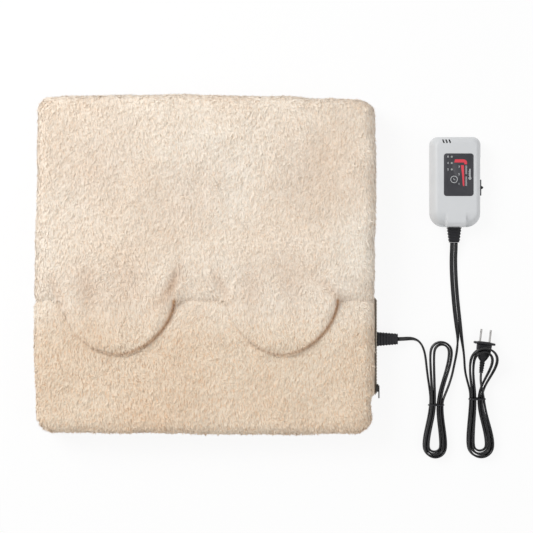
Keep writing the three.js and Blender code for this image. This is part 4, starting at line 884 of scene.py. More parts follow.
def make_tongue(side, x, places):
    """Tongue with the strip of the toe cover that it grows out of, bent at its root."""
    first, last = tongue_columns(x, side)
    strip = places[:int(round(STRIP / GRID)) + 1, first:last + 1]
    columns = last - first + 1
    across = np.linspace(-1, 1, columns)
    steps = int(TONGUE_DEPTH / GRID)
    share = np.sin(np.linspace(0, 1, steps) * math.pi / 2) * 0.9985
    u, v = np.meshgrid(across, share)
    half_here = hole_half_width((x[0, last] - x[0, first]) / 2, v)
    px = (x[0, last] + x[0, first]) / 2 + u * half_here
    py = SEAM_Y - v * TONGUE_DEPTH
    root = top_height(px, np.full(px.shape, SEAM_Y), True)
    full = np.clip(1 - np.abs(u) ** 7, 0, 1) * np.clip(1 - v ** 7, 0, 1)
    roll = TONGUE_FLOOR + (TOE_TOP - 0.4 - TONGUE_FLOOR) * np.sqrt(full)
    rim = np.exp(-((np.maximum(np.abs(u), v) - 0.8) / 0.16) ** 2)
    dish = 1.8 * (1 - rim) * full
    blend = eased(v / 0.3) * (1 - np.abs(u) ** 12) + np.abs(u) ** 12 * eased(v / 0.08)
    calm = eased(v / 0.2)
    pz = (1 - blend) * root + blend * (roll - dish - dents(px, py)) + undulation(px, py) * calm
    top = np.stack([px, py, pz], axis=-1)
    under = top.copy()
    under[..., 2] = TONGUE_FLOOR + 1.0 * (1 - full)
    inward = fleece_height(px, py)
    normals = -grid_normals(top)
    top = top + normals * inward[..., None]
    under = under - np.array([0, 0, 0.35]) * np.maximum(inward, 0)[..., None]
    top[0] = strip[0]
    edge = (np.abs(u) > 0.999) | (v > 0.998)
    under[edge] = top[edge]
    vertices = np.concatenate([strip.reshape(-1, 3), top.reshape(-1, 3), under.reshape(-1, 3)])
    first_top = strip.shape[0] * columns
    faces = [cells_of(strip.shape[:2]), cells_of(top.shape[:2], first_top, True)]
    faces.append(cells_of(top.shape[:2], first_top + top.shape[0] * columns))
    piece = array_object(f"{side}_tongue_fleece", vertices, np.concatenate(faces))
    weld(piece)
    dress_bag_piece(piece, f"{side}_tongue", body=None)
    pile = array_object(f"{side}_tongue_pile", *tongue_pile(strip, top))
    dress_bag_piece(pile, material=PILE, body=None)
    for part in (piece, pile):
        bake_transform(part)


def tongue_pile(strip, top):
    """Pile of a tongue, drawn on one grid from the strip to the tip, its rows even in length."""
    whole = np.concatenate([strip[::-1], top[1:]])[::-1]
    kept = np.ones((whole.shape[0] - 1, whole.shape[1] - 1), bool)
    return pile_on(whole, kept, 103)


def weld(piece):
    edit_mesh(piece, lambda work: bmesh.ops.remove_doubles(work, verts=work.verts, dist=WELD_DISTANCE))


TOE_X, TOE_Y, TOE_PLACES = toe_grid()
make_heel_cover()
for hole in TONGUES:
    make_hole_hem(hole)
make_toe_cover(TOE_X, TOE_Y, TOE_PLACES)
for tongue in TONGUES:
    make_tongue(tongue, TOE_X, TOE_PLACES)


# Hand controller, drawn smooth over the same outlines as its solids
CASE_X = 332.2
CASE_Y = 110.0
CASE_WIDTH = 67.4
CASE_LENGTH = 120.0
CASE_HEIGHT = 28.0
CASE_SPLIT = 11.0
CASE_WALL = 2.2
CASE_BEVEL = 8.5
CASE_TOP_CORNERS = (10.5, 7.0)
CASE_LOW_CORNERS = (19.0, 13.0)
CASE_PROFILE = [
    (3.5, 0), (1.6, 0.9), (0.8, 4), (0, 10), (0, 14), (0.6, 18), (2.4, 22.4), (5, 26.2), (7, 27.6), (8.5, 28),
]
PANEL = (334.6, 118.6, 39.0, 56.0, 3.5)
PANEL_RECESS = 0.9
LAMPS = [(325.4, 142.4), (325.4, 134.0), (325.4, 125.6)]
BUTTON = (328.4, 112.4, 4.8)
VENTS = [(314.6, 163.0), (318.8, 163.0), (323.0, 163.0)]
VENT_FLOOR = 19
CHIN_HALF = 12.5
CASE_END = CASE_Y - CASE_LENGTH / 2
HALF_SEAM = 0.15
SCREW_X = 18.7
SCREW_Y = 46
SCREW_RADIUS = 3
SCREW_CUT = (-2, 2.3)
SIDE_Z = 15.5
GRIP_HOLLOW = (104, 78, 56, 8.5)
SLIDER_SLOT = (116.4, 34.6, 3.4, 1.2)
NECK_HALF = 7.8
NECK_HEIGHTS = (2.7, 11.3)
VENT_WIDTH = 2.3
VENT_LENGTH = 5.4
VENT_TURN = 0.3
LAMP_HOLE = 1.6
LAMP_RING = 1.45
OVERRUN = 5
CUT_FROM = 20
CUT_TO = 32
PANEL_CUT_TO = 30


def corner_outline(width, length, top_radius, low_radius):
    """Points of the case's outline, always as many, whatever its size and corner radii."""
    half_x, half_y = width / 2, length / 2
    corners = [(1, 1, top_radius), (-1, 1, top_radius), (-1, -1, low_radius), (1, -1, low_radius)]
    arcs = []
    for corner, (side_x, side_y, radius) in enumerate(corners):
        for step in range(13):
            angle = math.radians(90 * corner + 7.5 * step)
            x = side_x * (half_x - radius) + radius * math.cos(angle)
            arcs.append((CASE_X + x, CASE_Y + side_y * (half_y - radius) + radius * math.sin(angle)))
    points = []
    for index, here in enumerate(arcs):
        there = arcs[(index + 1) % len(arcs)]
        count = 16 if index % 13 == 12 else 1
        points += [(here[0] + k / count * (there[0] - here[0]), here[1] + k / count * (there[1] - here[1]))
                   for k in range(count)]
    return np.array(points)


def case_profile(low, high):
    dense = route([(inset, height, 0, 0) for inset, height in CASE_PROFILE], 0.7)[:, :2]
    inside = dense[(dense[:, 1] > low + 0.2) & (dense[:, 1] < high - 0.05)]
    ends = [(np.interp(z, dense[:, 1], dense[:, 0]), z) for z in (low, high)]
    return [ends[0], *map(tuple, inside), ends[1]]


def case_rings(low, high, wall):
    rings = []
    tall = (CASE_HEIGHT - 2 * wall) / CASE_HEIGHT
    for inset, z in case_profile(low, high):
        inset = inset + wall
        share = min(1, inset / (CASE_BEVEL + wall))
        radii = [max(face - wall, (foot - wall) * (1 - share) + face * share)
                 for foot, face in (CASE_TOP_CORNERS, CASE_LOW_CORNERS)]
        outline = corner_outline(CASE_WIDTH - 2 * inset, CASE_LENGTH - 2 * inset, *radii)
        height = np.full((len(outline), 1), wall + z * tall if wall else z)
        rings.append(np.hstack([outline, height]))
    return np.array(rings)


def shape_chin(rings):
    """Slope the end away on both sides of the cord exit, and keep the chin between them high."""
    x, y, z = rings[..., 0], rings[..., 1], rings[..., 2]
    away = np.abs(x - CASE_X)
    high = eased((z - 15) / 7)
    near_end = eased((CASE_END + 21 - y) / 21)
    chin = 1 - eased((away - CHIN_HALF + 0.6) / 2.4)
    scoop = near_end * (1 - chin) * np.exp(-((away - CHIN_HALF - 3) / 7.5) ** 2)
    drop = 3.9 * scoop + 2.6 * near_end * (1 - chin)
    rings[..., 2] = z - high * drop
    chin_end = eased((z - 15) / 4) * eased((CASE_END + 12 - y) / 12) * chin
    rings[..., 2] += chin_end * np.maximum(0, 26.4 - z) * 0.7
    rings[..., 1] = y - chin_end * np.maximum(0, y - CASE_END - 0.4) * 0.55
    return rings


CAP_SHARES = [0.96, 0.92, 0.88, 0.84, 0.8, 0.75, 0.7, 0.64, 0.57, 0.48, 0.36, 0.2]


def ring_solid(name, rings, shape=None):
    """A closed body through rings of points, its ends capped by fans of shrinking rings."""
    rings = list(rings)
    count = len(rings[0])
    caps = []
    for end in (0, -1):
        middle = rings[end].mean(axis=0)
        caps.append([middle + (rings[end] - middle) * share for share in CAP_SHARES])
    rings = caps[0][::-1] + rings + caps[1]
    if shape:
        rings = list(shape(np.array(rings)))
    vertices = [tuple(point * MM) for ring in rings for point in ring]
    faces = tube_faces(len(rings), count)
    for first, flip in ((0, True), (len(rings) - 1, False)):
        centre = len(vertices)
        vertices.append(tuple(rings[first].mean(axis=0) * MM))
        for side in range(count):
            a, b = first * count + side, first * count + (side + 1) % count
            faces.append((b, a, centre) if flip else (a, b, centre))
    return mesh_object(name, vertices, faces, True)


def prism_faces(count, first=0):
    """Faces of a prism whose low outline comes before its high one."""
    low = [first + k for k in range(count)]
    high = [place + count for place in low]
    sides = [[low[k], low[(k + 1) % count], high[(k + 1) % count], high[k]] for k in range(count)]
    return [low[::-1], high, *sides]


def prism_points(outline, low, high):
    return [(x * MM, y * MM, z * MM) for z in (low, high) for x, y in outline]


def slab_tool(outline, low, high):
    """A plain prism to cut with."""
    return mesh_object("tool", prism_points(outline, low, high), prism_faces(len(outline)), False)


def rounded(x, y, width, length, radius, turn=0.0, steps=6):
    points = []
    c, s = math.cos(turn), math.sin(turn)
    for corner, (sx, sy) in enumerate([(1, 1), (-1, 1), (-1, -1), (1, -1)]):
        for step in range(steps + 1):
            angle = math.radians(90 * corner + 90 * step / steps)
            px = sx * (width / 2 - radius) + radius * math.cos(angle)
            py = sy * (length / 2 - radius) + radius * math.sin(angle)
            points.append((x + px * c - py * s, y + px * s + py * c))
    return points


def circle(x, y, radius, steps=32):
    return [(x + radius * math.cos(math.tau * k / steps), y + radius * math.sin(math.tau * k / steps))
            for k in range(steps)]


def bar(x0, x1, y0, y1):
    return [(x0, y0), (x1, y0), (x1, y1), (x0, y1)]


def box_tool(x0, x1, y0, y1, z0, z1):
    return slab_tool(bar(x0, x1, y0, y1), z0, z1)


def side_tool(y, length, height, radius, z, x0, x1):
    """A rounded prism that cuts in from the case's right side."""
    outline = rounded(y, z, length, height, radius)
    vertices = [(x * MM, a * MM, b * MM) for x in (x0, x1) for a, b in outline]
    return mesh_object("tool", vertices, prism_faces(len(outline)), False)


def take_on(piece, change):
    """Make a modifier's change part of the mesh."""
    with bpy.context.temp_override(object=piece, active_object=piece):
        bpy.ops.object.modifier_apply(modifier=change.name)


def carve(piece, *tools):
    """Cut the tools out of the piece and remove them."""
    for tool in tools:
        change = piece.modifiers.new("cut", "BOOLEAN")
        change.operation = "DIFFERENCE"
        change.solver = "EXACT"
        change.object = tool
        take_on(piece, change)
        bpy.data.objects.remove(tool)


def soften(piece, width=0.25, segments=2, angle=32):
    """Round the sharp edges a little, and shade the rest smooth."""
    change = piece.modifiers.new("edges", "BEVEL")
    change.width = width * MM
    change.segments = segments
    change.limit_method = "ANGLE"
    change.angle_limit = math.radians(angle)
    change.harden_normals = True
    take_on(piece, change)
    piece.data.polygons.foreach_set("use_smooth", [True] * len(piece.data.polygons))


CASE_PLASTIC = grained_material(
    "case_plastic", 0.4, [(210, 212, 214), (214, 216, 218)], (30, 2), (2600, 2, 0.5), 0.00005, 0.35,
    Specular_IOR_Level=0.4)
GRIP_FACE_X = CASE_X + CASE_WIDTH / 2 - 1.4


def case_cuts():
    right = CASE_X + CASE_WIDTH / 2
    grip = side_tool(*GRIP_HOLLOW, SIDE_Z, GRIP_FACE_X, right + OVERRUN)
    slot = side_tool(*SLIDER_SLOT, SIDE_Z, CASE_X, right + OVERRUN)
    neck_x = (CASE_X - NECK_HALF, CASE_X + NECK_HALF)
    neck = box_tool(*neck_x, CASE_END - OVERRUN, CASE_END + 4.5, *NECK_HEIGHTS)
    return [grip, slot, neck]


def vent_outline(x, y, inset):
    return rounded(x, y, VENT_WIDTH - 2 * inset, VENT_LENGTH - 2 * inset, 0.7, VENT_TURN)


def make_case_top():
    piece = ring_solid("case_top_shell", case_rings(CASE_SPLIT + HALF_SEAM, CASE_HEIGHT, 0), shape_chin)
    inside = ring_solid("tool", case_rings(1.0, 22, CASE_WALL + 0.6))
    recess = rounded(*PANEL[:2], PANEL[2] + 0.5, PANEL[3] + 0.5, PANEL[4] + 0.25)
    panel = slab_tool(recess, CASE_HEIGHT - PANEL_RECESS, PANEL_CUT_TO)
    vents = [slab_tool(vent_outline(x, y, 0), VENT_FLOOR, CUT_TO) for x, y in VENTS]
    lamps = [slab_tool(circle(x, y, LAMP_HOLE, 20), CUT_FROM, CUT_TO) for x, y in LAMPS]
    button = slab_tool(circle(BUTTON[0], BUTTON[1], BUTTON[2] + GAP), CUT_FROM, CUT_TO)
    carve(piece, inside, panel, button, *case_cuts(), *vents, *lamps)
    soften(piece)
    dress(piece, "lead_set", "case", CASE_PLASTIC, "case_top")


def make_case_bottom():
    piece = ring_solid("case_bottom_shell", case_rings(0, CASE_SPLIT - HALF_SEAM, 0))
    inside = ring_solid("tool", case_rings(0.3, 27, CASE_WALL))
    screws = [(CASE_X + sx * SCREW_X, CASE_Y + sy * SCREW_Y) for sx in (-1, 1) for sy in (-1, 1)]
    holes = [slab_tool(circle(x, y, SCREW_RADIUS), *SCREW_CUT) for x, y in screws]
    carve(piece, inside, *case_cuts(), *holes)
    soften(piece)
    dress(piece, "lead_set", "case", CASE_PLASTIC, "case_bottom")


def plastic_material(name, colour, lighter, roughness, grain=0.00008):
    return grained_material(
        name, roughness, [colour, lighter], (60, 2), (1800, 3, 0.55), grain, 0.5, Specular_IOR_Level=0.4)


PANEL_DARK = plastic_material("panel_print", (57, 57, 62), (62, 62, 67), 0.42)
PRINT_RED = plastic_material("red_print", (216, 62, 76), (226, 74, 88), 0.45)
PRINT_PALE = plastic_material("pale_print", (196, 198, 200), (206, 208, 210), 0.45)
BLACK_MOULDED = plastic_material("moulded_black", (24, 24, 28), (31, 31, 36), 0.45, 0.00015)
LAMP_LENS = plastic_material("lamp_lens", (158, 162, 160), (172, 176, 174), 0.25)


def raised(name, outlines, low, high, material, slot, body="lead_set"):
    """Flat printed or moulded pieces, each a thin prism, in one object."""
    vertices, faces = [], []
    for outline in outlines:
        first = len(vertices)
        vertices += prism_points(outline, low, high)
        faces += prism_faces(len(outline), first)
    dress(mesh_object(name, vertices, faces, False), body, slot, material)


PANEL_TOP = CASE_HEIGHT - 0.25
PRINT_TOP = PANEL_TOP + 0.08
PRINT_FOOT = PANEL_TOP - 0.02
BAR_X = (328.7, 340.6)
BAR_Y = 136.9
BAR_HALF = 2.1
BAR_END = [(345.6, 132.3), (342.2, 132.3)]
WEDGE = [
    (337.4, 131.2), (338.9, 120), (340.0, 104.4), (341.6, 103.2), (342.0, 104.4), (341.6, 120),
    (341.4, 131.2),
]
TICK_X = (343.4, 345.6)
TICK_PLACES = (*np.arange(119.6, 131, 1.05), *np.arange(104, 116.4, 1.05))
TICK_THICKNESS = 0.45
BULB = (349.4, 114)
STEM = (348.7, 350.1, 115.8, 126.4)
DEGREE_X = (347.2, 348.2)
DEGREE_PLACES = (118, 120.4, 122.8)
NUMBER_SIZE = 3.6
HOURS_X = 320.4
LEVELS_X = 335.0
LEVELS = [("3", 129.2), ("2", 119.2), ("1", 106.4)]


def make_panel():
    piece = slab_tool(rounded(*PANEL), CASE_HEIGHT - PANEL_RECESS + 0.05, PANEL_TOP)
    holes = [slab_tool(circle(x, y, LAMP_RING, 20), CUT_FROM, CUT_TO) for x, y in LAMPS]
    button = circle(BUTTON[0], BUTTON[1], BUTTON[2] + 0.25, 40)
    carve(piece, slab_tool(button, CUT_FROM, CUT_TO), *holes)
    soften(piece, 0.12)
    piece.name = "panel_label"
    dress(piece, "lead_set", "panel", PANEL_DARK, "label_panel")


def ring_strip(x, y, outer, inner, steps=40):
    """Quads of a flat ring, as small outlines."""
    out, into = circle(x, y, outer, steps), circle(x, y, inner, steps)
    return [[into[k], out[k], out[(k + 1) % steps], into[(k + 1) % steps]] for k in range(steps)]


def bend_bar():
    """Red bar that turns down at its right end."""
    x0, x1 = BAR_X
    top = [(x1 + 5.0 * math.sin(t), BAR_Y - 2.4 + 4.5 * math.cos(t)) for t in np.linspace(0, math.pi / 2, 9)]
    low = [(x1 + 1.2 * math.sin(t), BAR_Y - 2.6 + 0.5 * math.cos(t)) for t in np.linspace(math.pi / 2, 0, 5)]
    return [(x0, BAR_Y - BAR_HALF), *low[::-1], *BAR_END[::-1], *top[::-1], (x0 + 1.0, BAR_Y + BAR_HALF)]


def scale_ticks():
    return [bar(*TICK_X, y, y + TICK_THICKNESS) for y in TICK_PLACES]


def thermometer():
    """Small generic thermometer beside the scale."""
    marks = [bar(*DEGREE_X, y, y + 0.5) for y in DEGREE_PLACES]
    return [*ring_strip(*BULB, 1.9, 1.2, 20), circle(*BULB, 0.8, 12), bar(*STEM), *marks]


def clock_hands():
    x, y = BUTTON[0] - 0.4, BUTTON[1] - 0.4
    return [bar(x - 0.3, x + 0.3, y, y + 2.4), bar(x, x + 2.0, y - 0.3, y + 0.3)]


def numeral(text, x, y):
    """A printed number, from the built-in font, as a thin solid."""
    curve = bpy.data.curves.new(f"number_{text}", "FONT")
    curve.body = text
    curve.size = NUMBER_SIZE * MM
    curve.extrude = 0.04 * MM
    curve.offset = 0.00006
    curve.align_x = "CENTER"
    curve.align_y = "CENTER"
    curve.resolution_u = 3
    holder = placed(f"number_{text}", curve)
    holder.location = (x * MM, y * MM, (PANEL_TOP + 0.05) * MM)
    bpy.context.view_layer.update()
    mesh = bpy.data.meshes.new_from_object(holder.evaluated_get(bpy.context.evaluated_depsgraph_get()))
    mesh.transform(holder.matrix_world)
    bpy.data.objects.remove(holder)
    mesh.materials.clear()
    dress(placed(f"number_{text}_{int(y)}", mesh), "lead_set", "panel", PRINT_PALE)


def make_vent_shade():
    """A dark sheet at the bottom of each vent, as painted shade in the vents."""
    outlines = [vent_outline(x, y, 0.04) for x, y in VENTS]
    raised("painted_vent_shade", outlines, VENT_FLOOR + 0.02, VENT_FLOOR + 4.6, BLACK_MOULDED, "black_plastic")


def make_print():
    raised("red_scale", [bend_bar(), WEDGE[::-1]], PRINT_FOOT, PRINT_TOP, PRINT_RED, "panel")
    raised("scale_marks", scale_ticks() + thermometer(), PRINT_FOOT, PRINT_TOP, PRINT_PALE, "panel")
    for (_, y), text in zip(LAMPS, "842"):
        numeral(text, HOURS_X, y)
    for text, y in LEVELS:
        numeral(text, LEVELS_X, y)


def make_button():
    x, y, radius = BUTTON
    cap = slab_tool(circle(x, y, radius, 48), 23, CASE_HEIGHT - 0.15)
    cap.name = "button_cap"
    soften(cap, 0.4, 3)
    dress(cap, "button", "panel", PANEL_DARK, "timer_button")
    top = CASE_HEIGHT - 0.17
    for name, outlines in (("button_ring", ring_strip(x, y, 4.75, 4.0, 72)), ("button_hands", clock_hands())):
        raised(name, outlines, top, top + 0.1, PRINT_PALE, "panel", "button")


def paint(name, material):
    """Give a CAD node its procedural material."""
    node = bpy.data.objects[name]
    for place in node.material_slots:
        place.link = "OBJECT"
        place.material = material


make_case_top()
make_case_bottom()
make_vent_shade()
make_panel()
make_print()
make_button()
for lamp in (1, 2, 3):
    paint(f"timer_lamp_{lamp}", LAMP_LENS)


# Connector, strain relief, plug and ties
CONNECTOR_X = 221.3
CONNECTOR_Z = 10.4
CONNECTOR_LENGTH = 34.6
CONNECTOR_FRONT = (CONNECTOR_WIDTH, 14.0)
CONNECTOR_TAIL = (14.6, 9.5)
CONNECTOR_RIBS = 9
NOSE_SIZE = (14.0, 8.0)
NOSE_LENGTH = 18.0
GLAND_Y = 49.7
GLAND_Z = 7.0
GLAND_LENGTH = 20.0
GLAND_FRONT = (19.4, 11.0)
GLAND_TAIL = (14.6, 7.0)
GLAND_RIBS = 5
GLAND_NECK = (15.0, 8.0)
GLAND_NECK_LENGTH = 4.2
FLANGE_WIDTH = 28.6
TAIL_WIDTH = 7.6
TAIL_LENGTH = 16.0
TAIL_RIBS = 5
TIE_WIRE = 0.75
CONTACTS = (-102.1, -97.1)


def squared(value, power=0.5):
    """A sine or cosine pushed out towards a square's corner."""
    return math.copysign(abs(value) ** power, value)


def squarish(width, height, sides=48):
    """Points round a rounded section, as across and up."""
    angles = [2 * math.pi * (side + 0.5) / sides for side in range(sides)]
    half_x, half_y = width / 2, height / 2
    return [(half_x * squared(math.cos(angle)), half_y * squared(math.sin(angle))) for angle in angles]


def ribbed_sizes(front, tail, ribs, depth, round_edge=0.9, steps=10):
    """Share along the taper, width and height: rounded ribs with grooves between them."""
    sizes = []
    for step in range(ribs * steps + 1):
        share = step / (ribs * steps)
        wave = (step % steps) / steps
        groove = depth * max(0.0, math.sin(math.pi * (wave - 0.35) / 0.65)) ** 0.7 if wave > 0.35 else 0.0
        width = front[0] + share * (tail[0] - front[0]) - 2 * groove
        height = front[1] + share * (tail[1] - front[1]) - 2 * groove
        sizes.append((share, width, height))
    first, last = sizes[0], sizes[-1]
    for inset in (0.25, 0.6, round_edge):
        sizes.insert(0, (0.0, first[1] - 2 * inset, first[2] - 2 * inset))
        sizes.append((1.0, last[1] - 2 * inset, last[2] - 2 * inset))
    return sizes


def body_of_rings(name, sizes, place, *nodes):
    """A closed moulded body through sections given as (back, width, height)."""
    rings = []
    for back, width, height in sizes:
        rings.append(np.array([place(across, back, up) for across, up in squarish(width, height)]))
    piece = ring_solid(name, rings)
    edit_mesh(piece, lambda work: bmesh.ops.recalc_face_normals(work, faces=work.faces))
    return dress(piece, "lead_set", "black_plastic", BLACK_MOULDED, *nodes)


def ribbed_body(name, node, place, length, front, tail, ribs, depth):
    sizes = [(share * length, *size) for share, *size in ribbed_sizes(front, tail, ribs, depth)]
    body_of_rings(name, sizes, place, node)


def make_connector():
    def place(across, back, up):
        return CONNECTOR_X + back, CONNECTOR_Y - across, CONNECTOR_Z + up
    ribbed_body("connector_grip", "connector_plug", place, CONNECTOR_LENGTH, CONNECTOR_FRONT, CONNECTOR_TAIL,
                CONNECTOR_RIBS, 0.6)
    steps = ((-NOSE_LENGTH, 1.2), (-NOSE_LENGTH + 0.4, 0.4), (-NOSE_LENGTH + 1.2, 0), (-0.3, 0), (0.4, 0.4))
    sizes = [(back, NOSE_SIZE[0] - 2 * inset, NOSE_SIZE[1] - 2 * inset) for back, inset in steps]
    nose = body_of_rings("connector_nose", sizes, place)
    start = CONNECTOR_X - NOSE_LENGTH - 1
    carve(nose, *(side_tool(y, 3, 3, 1.45, CONNECTOR_Z, start, CONNECTOR_X - 0.9) for y in CONTACTS))


def make_strain_relief():
    def place(across, back, up):
        return CASE_X - across, GLAND_Y - back, GLAND_Z + up
    ribbed_body("strain_relief", "cord_strain_relief", place, GLAND_LENGTH, GLAND_FRONT, GLAND_TAIL,
                GLAND_RIBS, 0.8)
    start = -GLAND_NECK_LENGTH
    neck = [(start, 14, 7), (start + 0.5, *GLAND_NECK), (0.4, *GLAND_NECK), (0.8, 14, 7)]
    body_of_rings("strain_relief_neck", neck, place)


# Sections of the plug from its face back: distance, then shares of the flange's or the body's size
FLANGE_SECTIONS = [
    (0.5, 0.52, 0.5), (0.1, 0.56, 0.55), (0.0, 0.6, 0.6), (0.5, 0.66, 0.66), (0.8, 0.78, 0.78),
    (0.7, 0.93, 0.92), (1.0, 0.97, 0.97), (1.7, 1, 1), (2.6, 1, 1), (3.2, 0.98, 0.98), (3.6, 0.94, 0.94),
]
BODY_SECTIONS = [
    (3.7, 1.02, 1.0), (4.4, 0.99, 0.99), (8, 0.98, 0.99), (13.5, 0.94, 0.98), (17.5, 0.84, 0.94),
    (21.2, 0.66, 0.86), (24, 0.5, 0.73),
]


def make_plug():
    def place(across, back, up):
        x, y = plug_point(across, back)
        return x, y, FLANGE_HEIGHT / 2 + GAP + up
    sizes = [(back, FLANGE_WIDTH * across, FLANGE_HEIGHT * up) for back, across, up in FLANGE_SECTIONS]
    sizes += [(back, BODY_WIDTH * across, BODY_HEIGHT * up) for back, across, up in BODY_SECTIONS]
    sizes.append((25.4, TAIL_WIDTH, TAIL_WIDTH))
    steps = 8
    for step in range(1, TAIL_RIBS * steps + 1):
        share = step / (TAIL_RIBS * steps)
        wave = (step % steps) / steps
        groove = 0.7 * math.sin(math.pi * wave) ** 0.8 if step < TAIL_RIBS * steps else 0.0
        width = TAIL_WIDTH * (1 - 0.25 * share) - 2 * groove
        sizes.append((25.6 + share * TAIL_LENGTH, width, width))
    sizes.append((25.9 + TAIL_LENGTH, sizes[-1][1] - 0.8, sizes[-1][2] - 0.8))
    body_of_rings("plug_moulding", sizes, place, "plug_body")


def make_tie(name, hank, node):
    """A thin wire wound twice round the waist, its two ends twisted together at the side."""
    waist_x, waist_y = hank["waist"]
    half = HANK_END * hank["pitch"] / 2 + THICKNESS / 2 + 0.75
    low = LEAD_FLOOR + WAIST_LIFT - 0.7
    high = LEAD_FLOOR + WAIST_LIFT + 2 * (hank["width"] + LAYER_GAP) + hank["end_lift"] + 0.7
    middle, tall = (low + high) / 2, (high - low) / 2
    points = []
    for step in range(2 * 40 + 1):
        angle = math.pi + 2 * math.pi * step / 40
        across, up = half * squared(math.cos(angle)), tall * squared(math.sin(angle))
        points.append((waist_x + across, waist_y - 0.8 + 1.6 * step / 80, middle + up))
    for side in (-1, 1):
        tail = []
        for n in range(4):
            twist_y, twist_z = 0.5 * math.sin(1.7 * n), 0.5 * math.cos(1.7 * n)
            tail.append((waist_x + side * (half + 0.5 * n), waist_y + twist_y, middle + twist_z))
        points = tail[::-1] + points if side < 0 else points + tail
    wire_object(name, points, TIE_WIRE, node)


def wire_object(name, points, radius, node):
    curve = bpy.data.curves.new(name, "CURVE")
    curve.dimensions = "3D"
    curve.bevel_depth = radius * MM
    curve.bevel_resolution = 4
    curve.use_fill_caps = True
    line = curve.splines.new("POLY")
    line.points.add(len(points) - 1)
    for point, place in zip(line.points, points):
        point.co = (*[value * MM for value in place], 1)
    dress(placed(name, curve), "lead_set", "tie", BLACK_MOULDED, node)


make_connector()
make_strain_relief()
make_plug()
make_tie("heater_wire_tie", HEATER_HANK, "heater_lead_tie")
make_tie("mains_wire_tie", MAINS_HANK, "mains_lead_tie")

heater_points = smoothed(np.vstack([
    route(HEATER_LEAD), hank_route(HEATER_HANK)[2:-2], route(HEATER_BRANCH)]))
mains_points = smoothed(np.vstack([
    route(MAINS_BRANCH), hank_route(MAINS_HANK)[2:-2], route(PLUG_LEAD)]))
add_lead("heater_lead", heater_points, HEATER_WIDTH, 3,
         ["heater_lead_a", "heater_lead_hank", "heater_lead_b"])
add_lead("mains_lead", mains_points, MAINS_WIDTH, 2,
         ["mains_lead_a", "mains_lead_hank", "mains_lead_b"])


# Layers in the bag and its underside, each rounded off at its edges
LAYER_HALF = (212.0, 210.5)
BASE_HALF = (216.4, 214.9)
FOOT_BED = (18.6, 23.4)
FOAM_HEIGHTS = (1.9, 12.2)
FELT_FLOORS = (("lower_felt", 12.65), ("upper_felt", 16.75))
FELT_THICKNESS = 1.4
BASE_HEIGHTS = (0.1, 1.4)


def layer(name, node, half, low, high, roll, cell, relief, material, slot):
    """A closed pad between two heights, its faces moved by relief(x, y) from -1 to 0."""
    u, v = np.meshgrid(
        np.linspace(-1, 1, int(2 * half[0] / cell) + 1), np.linspace(-1, 1, int(2 * half[1] / cell) + 1))
    pull = 1 - 0.012 * np.abs(u * v) ** 24
    x, y = half[0] * u * pull, half[1] * v * pull
    inset = np.minimum(half[0] * (1 - np.abs(u)), half[1] * (1 - np.abs(v)))
    full = np.sqrt(1 - (1 - np.clip(inset / roll, 0, 1)) ** 2)
    middle, tall = (low + high) / 2, (high - low) / 2
    depth = relief(x, y) * full
    top = np.stack([x, y, middle + tall * full + depth], axis=-1)
    under = np.stack([x, y, middle - tall * full - 0.2 * depth], axis=-1)
    vertices = np.concatenate([top.reshape(-1, 3), under.reshape(-1, 3)])
    faces = np.concatenate([cells_of(u.shape), cells_of(u.shape, u.size, True)])
    piece = array_object(name, vertices, faces)
    weld(piece)
    return dress(piece, "bag", slot, material, node)


def fabric_material(name, colours, roughness, scale, depth, stretch=None):
    """Cloth or foam: two shades broken up by fibres or pores, raised a little."""
    grain = (scale, 4, 0.6, 0.4, stretch)
    return grained_material(name, roughness, colours, None, grain, depth, 0.7, Specular_IOR_Level=0.2)


def pile_relief(x, y):
    return -1.5 + np.clip(fleece_height(x, y), -1.5, 1.5) + 0.3 * soft_noise(x, y, 40, 71)


def wadding_relief(x, y):
    return -0.25 + 0.2 * soft_noise(x, y, 30, 72)


def weave_relief(x, y):
    return -0.1 + 0.08 * soft_noise(x, y, 24, 73)


FOAM = fabric_material("foam_pores", [(222, 210, 172), (238, 228, 196)], 0.9, 1400, 0.0003)
FELT = fabric_material("felt_fibres", [(206, 206, 202), (228, 228, 224)], 0.95, 900, 0.0002, (1, 0.35, 1))
UNDERSIDE = fabric_material("underside_weave", [(150, 138, 124), (176, 163, 147)], 0.9, 1600, 0.0002,
                            (1, 0.5, 1))
ZIP_CLOTH = fabric_material("zip_cloth", [(168, 158, 144), (196, 186, 172)], 0.85, 1800, 0.00012, (0.3, 1, 1))

foot_bed = layer("foot_bed_pile", "foot_bed", LAYER_HALF, *FOOT_BED, 3, 2.0, pile_relief, FLEECE, "fleece")
add_painted_shade(foot_bed)
foam = layer("foam_pad", "foam_cushion", LAYER_HALF, *FOAM_HEIGHTS, 3, 8.0, wadding_relief, FOAM, "foam")
lower, upper = (
    layer(f"{name}_cloth", name, LAYER_HALF, low, low + FELT_THICKNESS, 1.5, 8.0, weave_relief, FELT, "felt")
    for name, low in FELT_FLOORS)
underside = layer(
    "underside_cloth", "base_sheet", BASE_HALF, *BASE_HEIGHTS, 2, 4.0, weave_relief, UNDERSIDE, "underside")


# Zip: its woven tape; the coil of teeth, slider and pull keep their CAD shapes and are painted below
TAPE_X = 224.2
TAPE_Z = 27.0
TAPE_HEIGHT = 13.0
TAPE_START = -44.2
TAPE_END = -171.8


def make_zip_tape():
    columns = 120
    rows = 14
    along, tall = np.meshgrid(np.linspace(TAPE_START, TAPE_END, columns), np.linspace(-0.5, 0.5, rows))
    ripple = 0.16 * soft_noise(along, tall * 40, 13, 74) * (0.4 + np.abs(tall))
    places = np.stack([TAPE_X + ripple, along, TAPE_Z + tall * TAPE_HEIGHT], axis=-1)
    return dress(grid_object("zip_tape_cloth", places), "bag", "zip_tape", ZIP_CLOTH, "zip_tape")


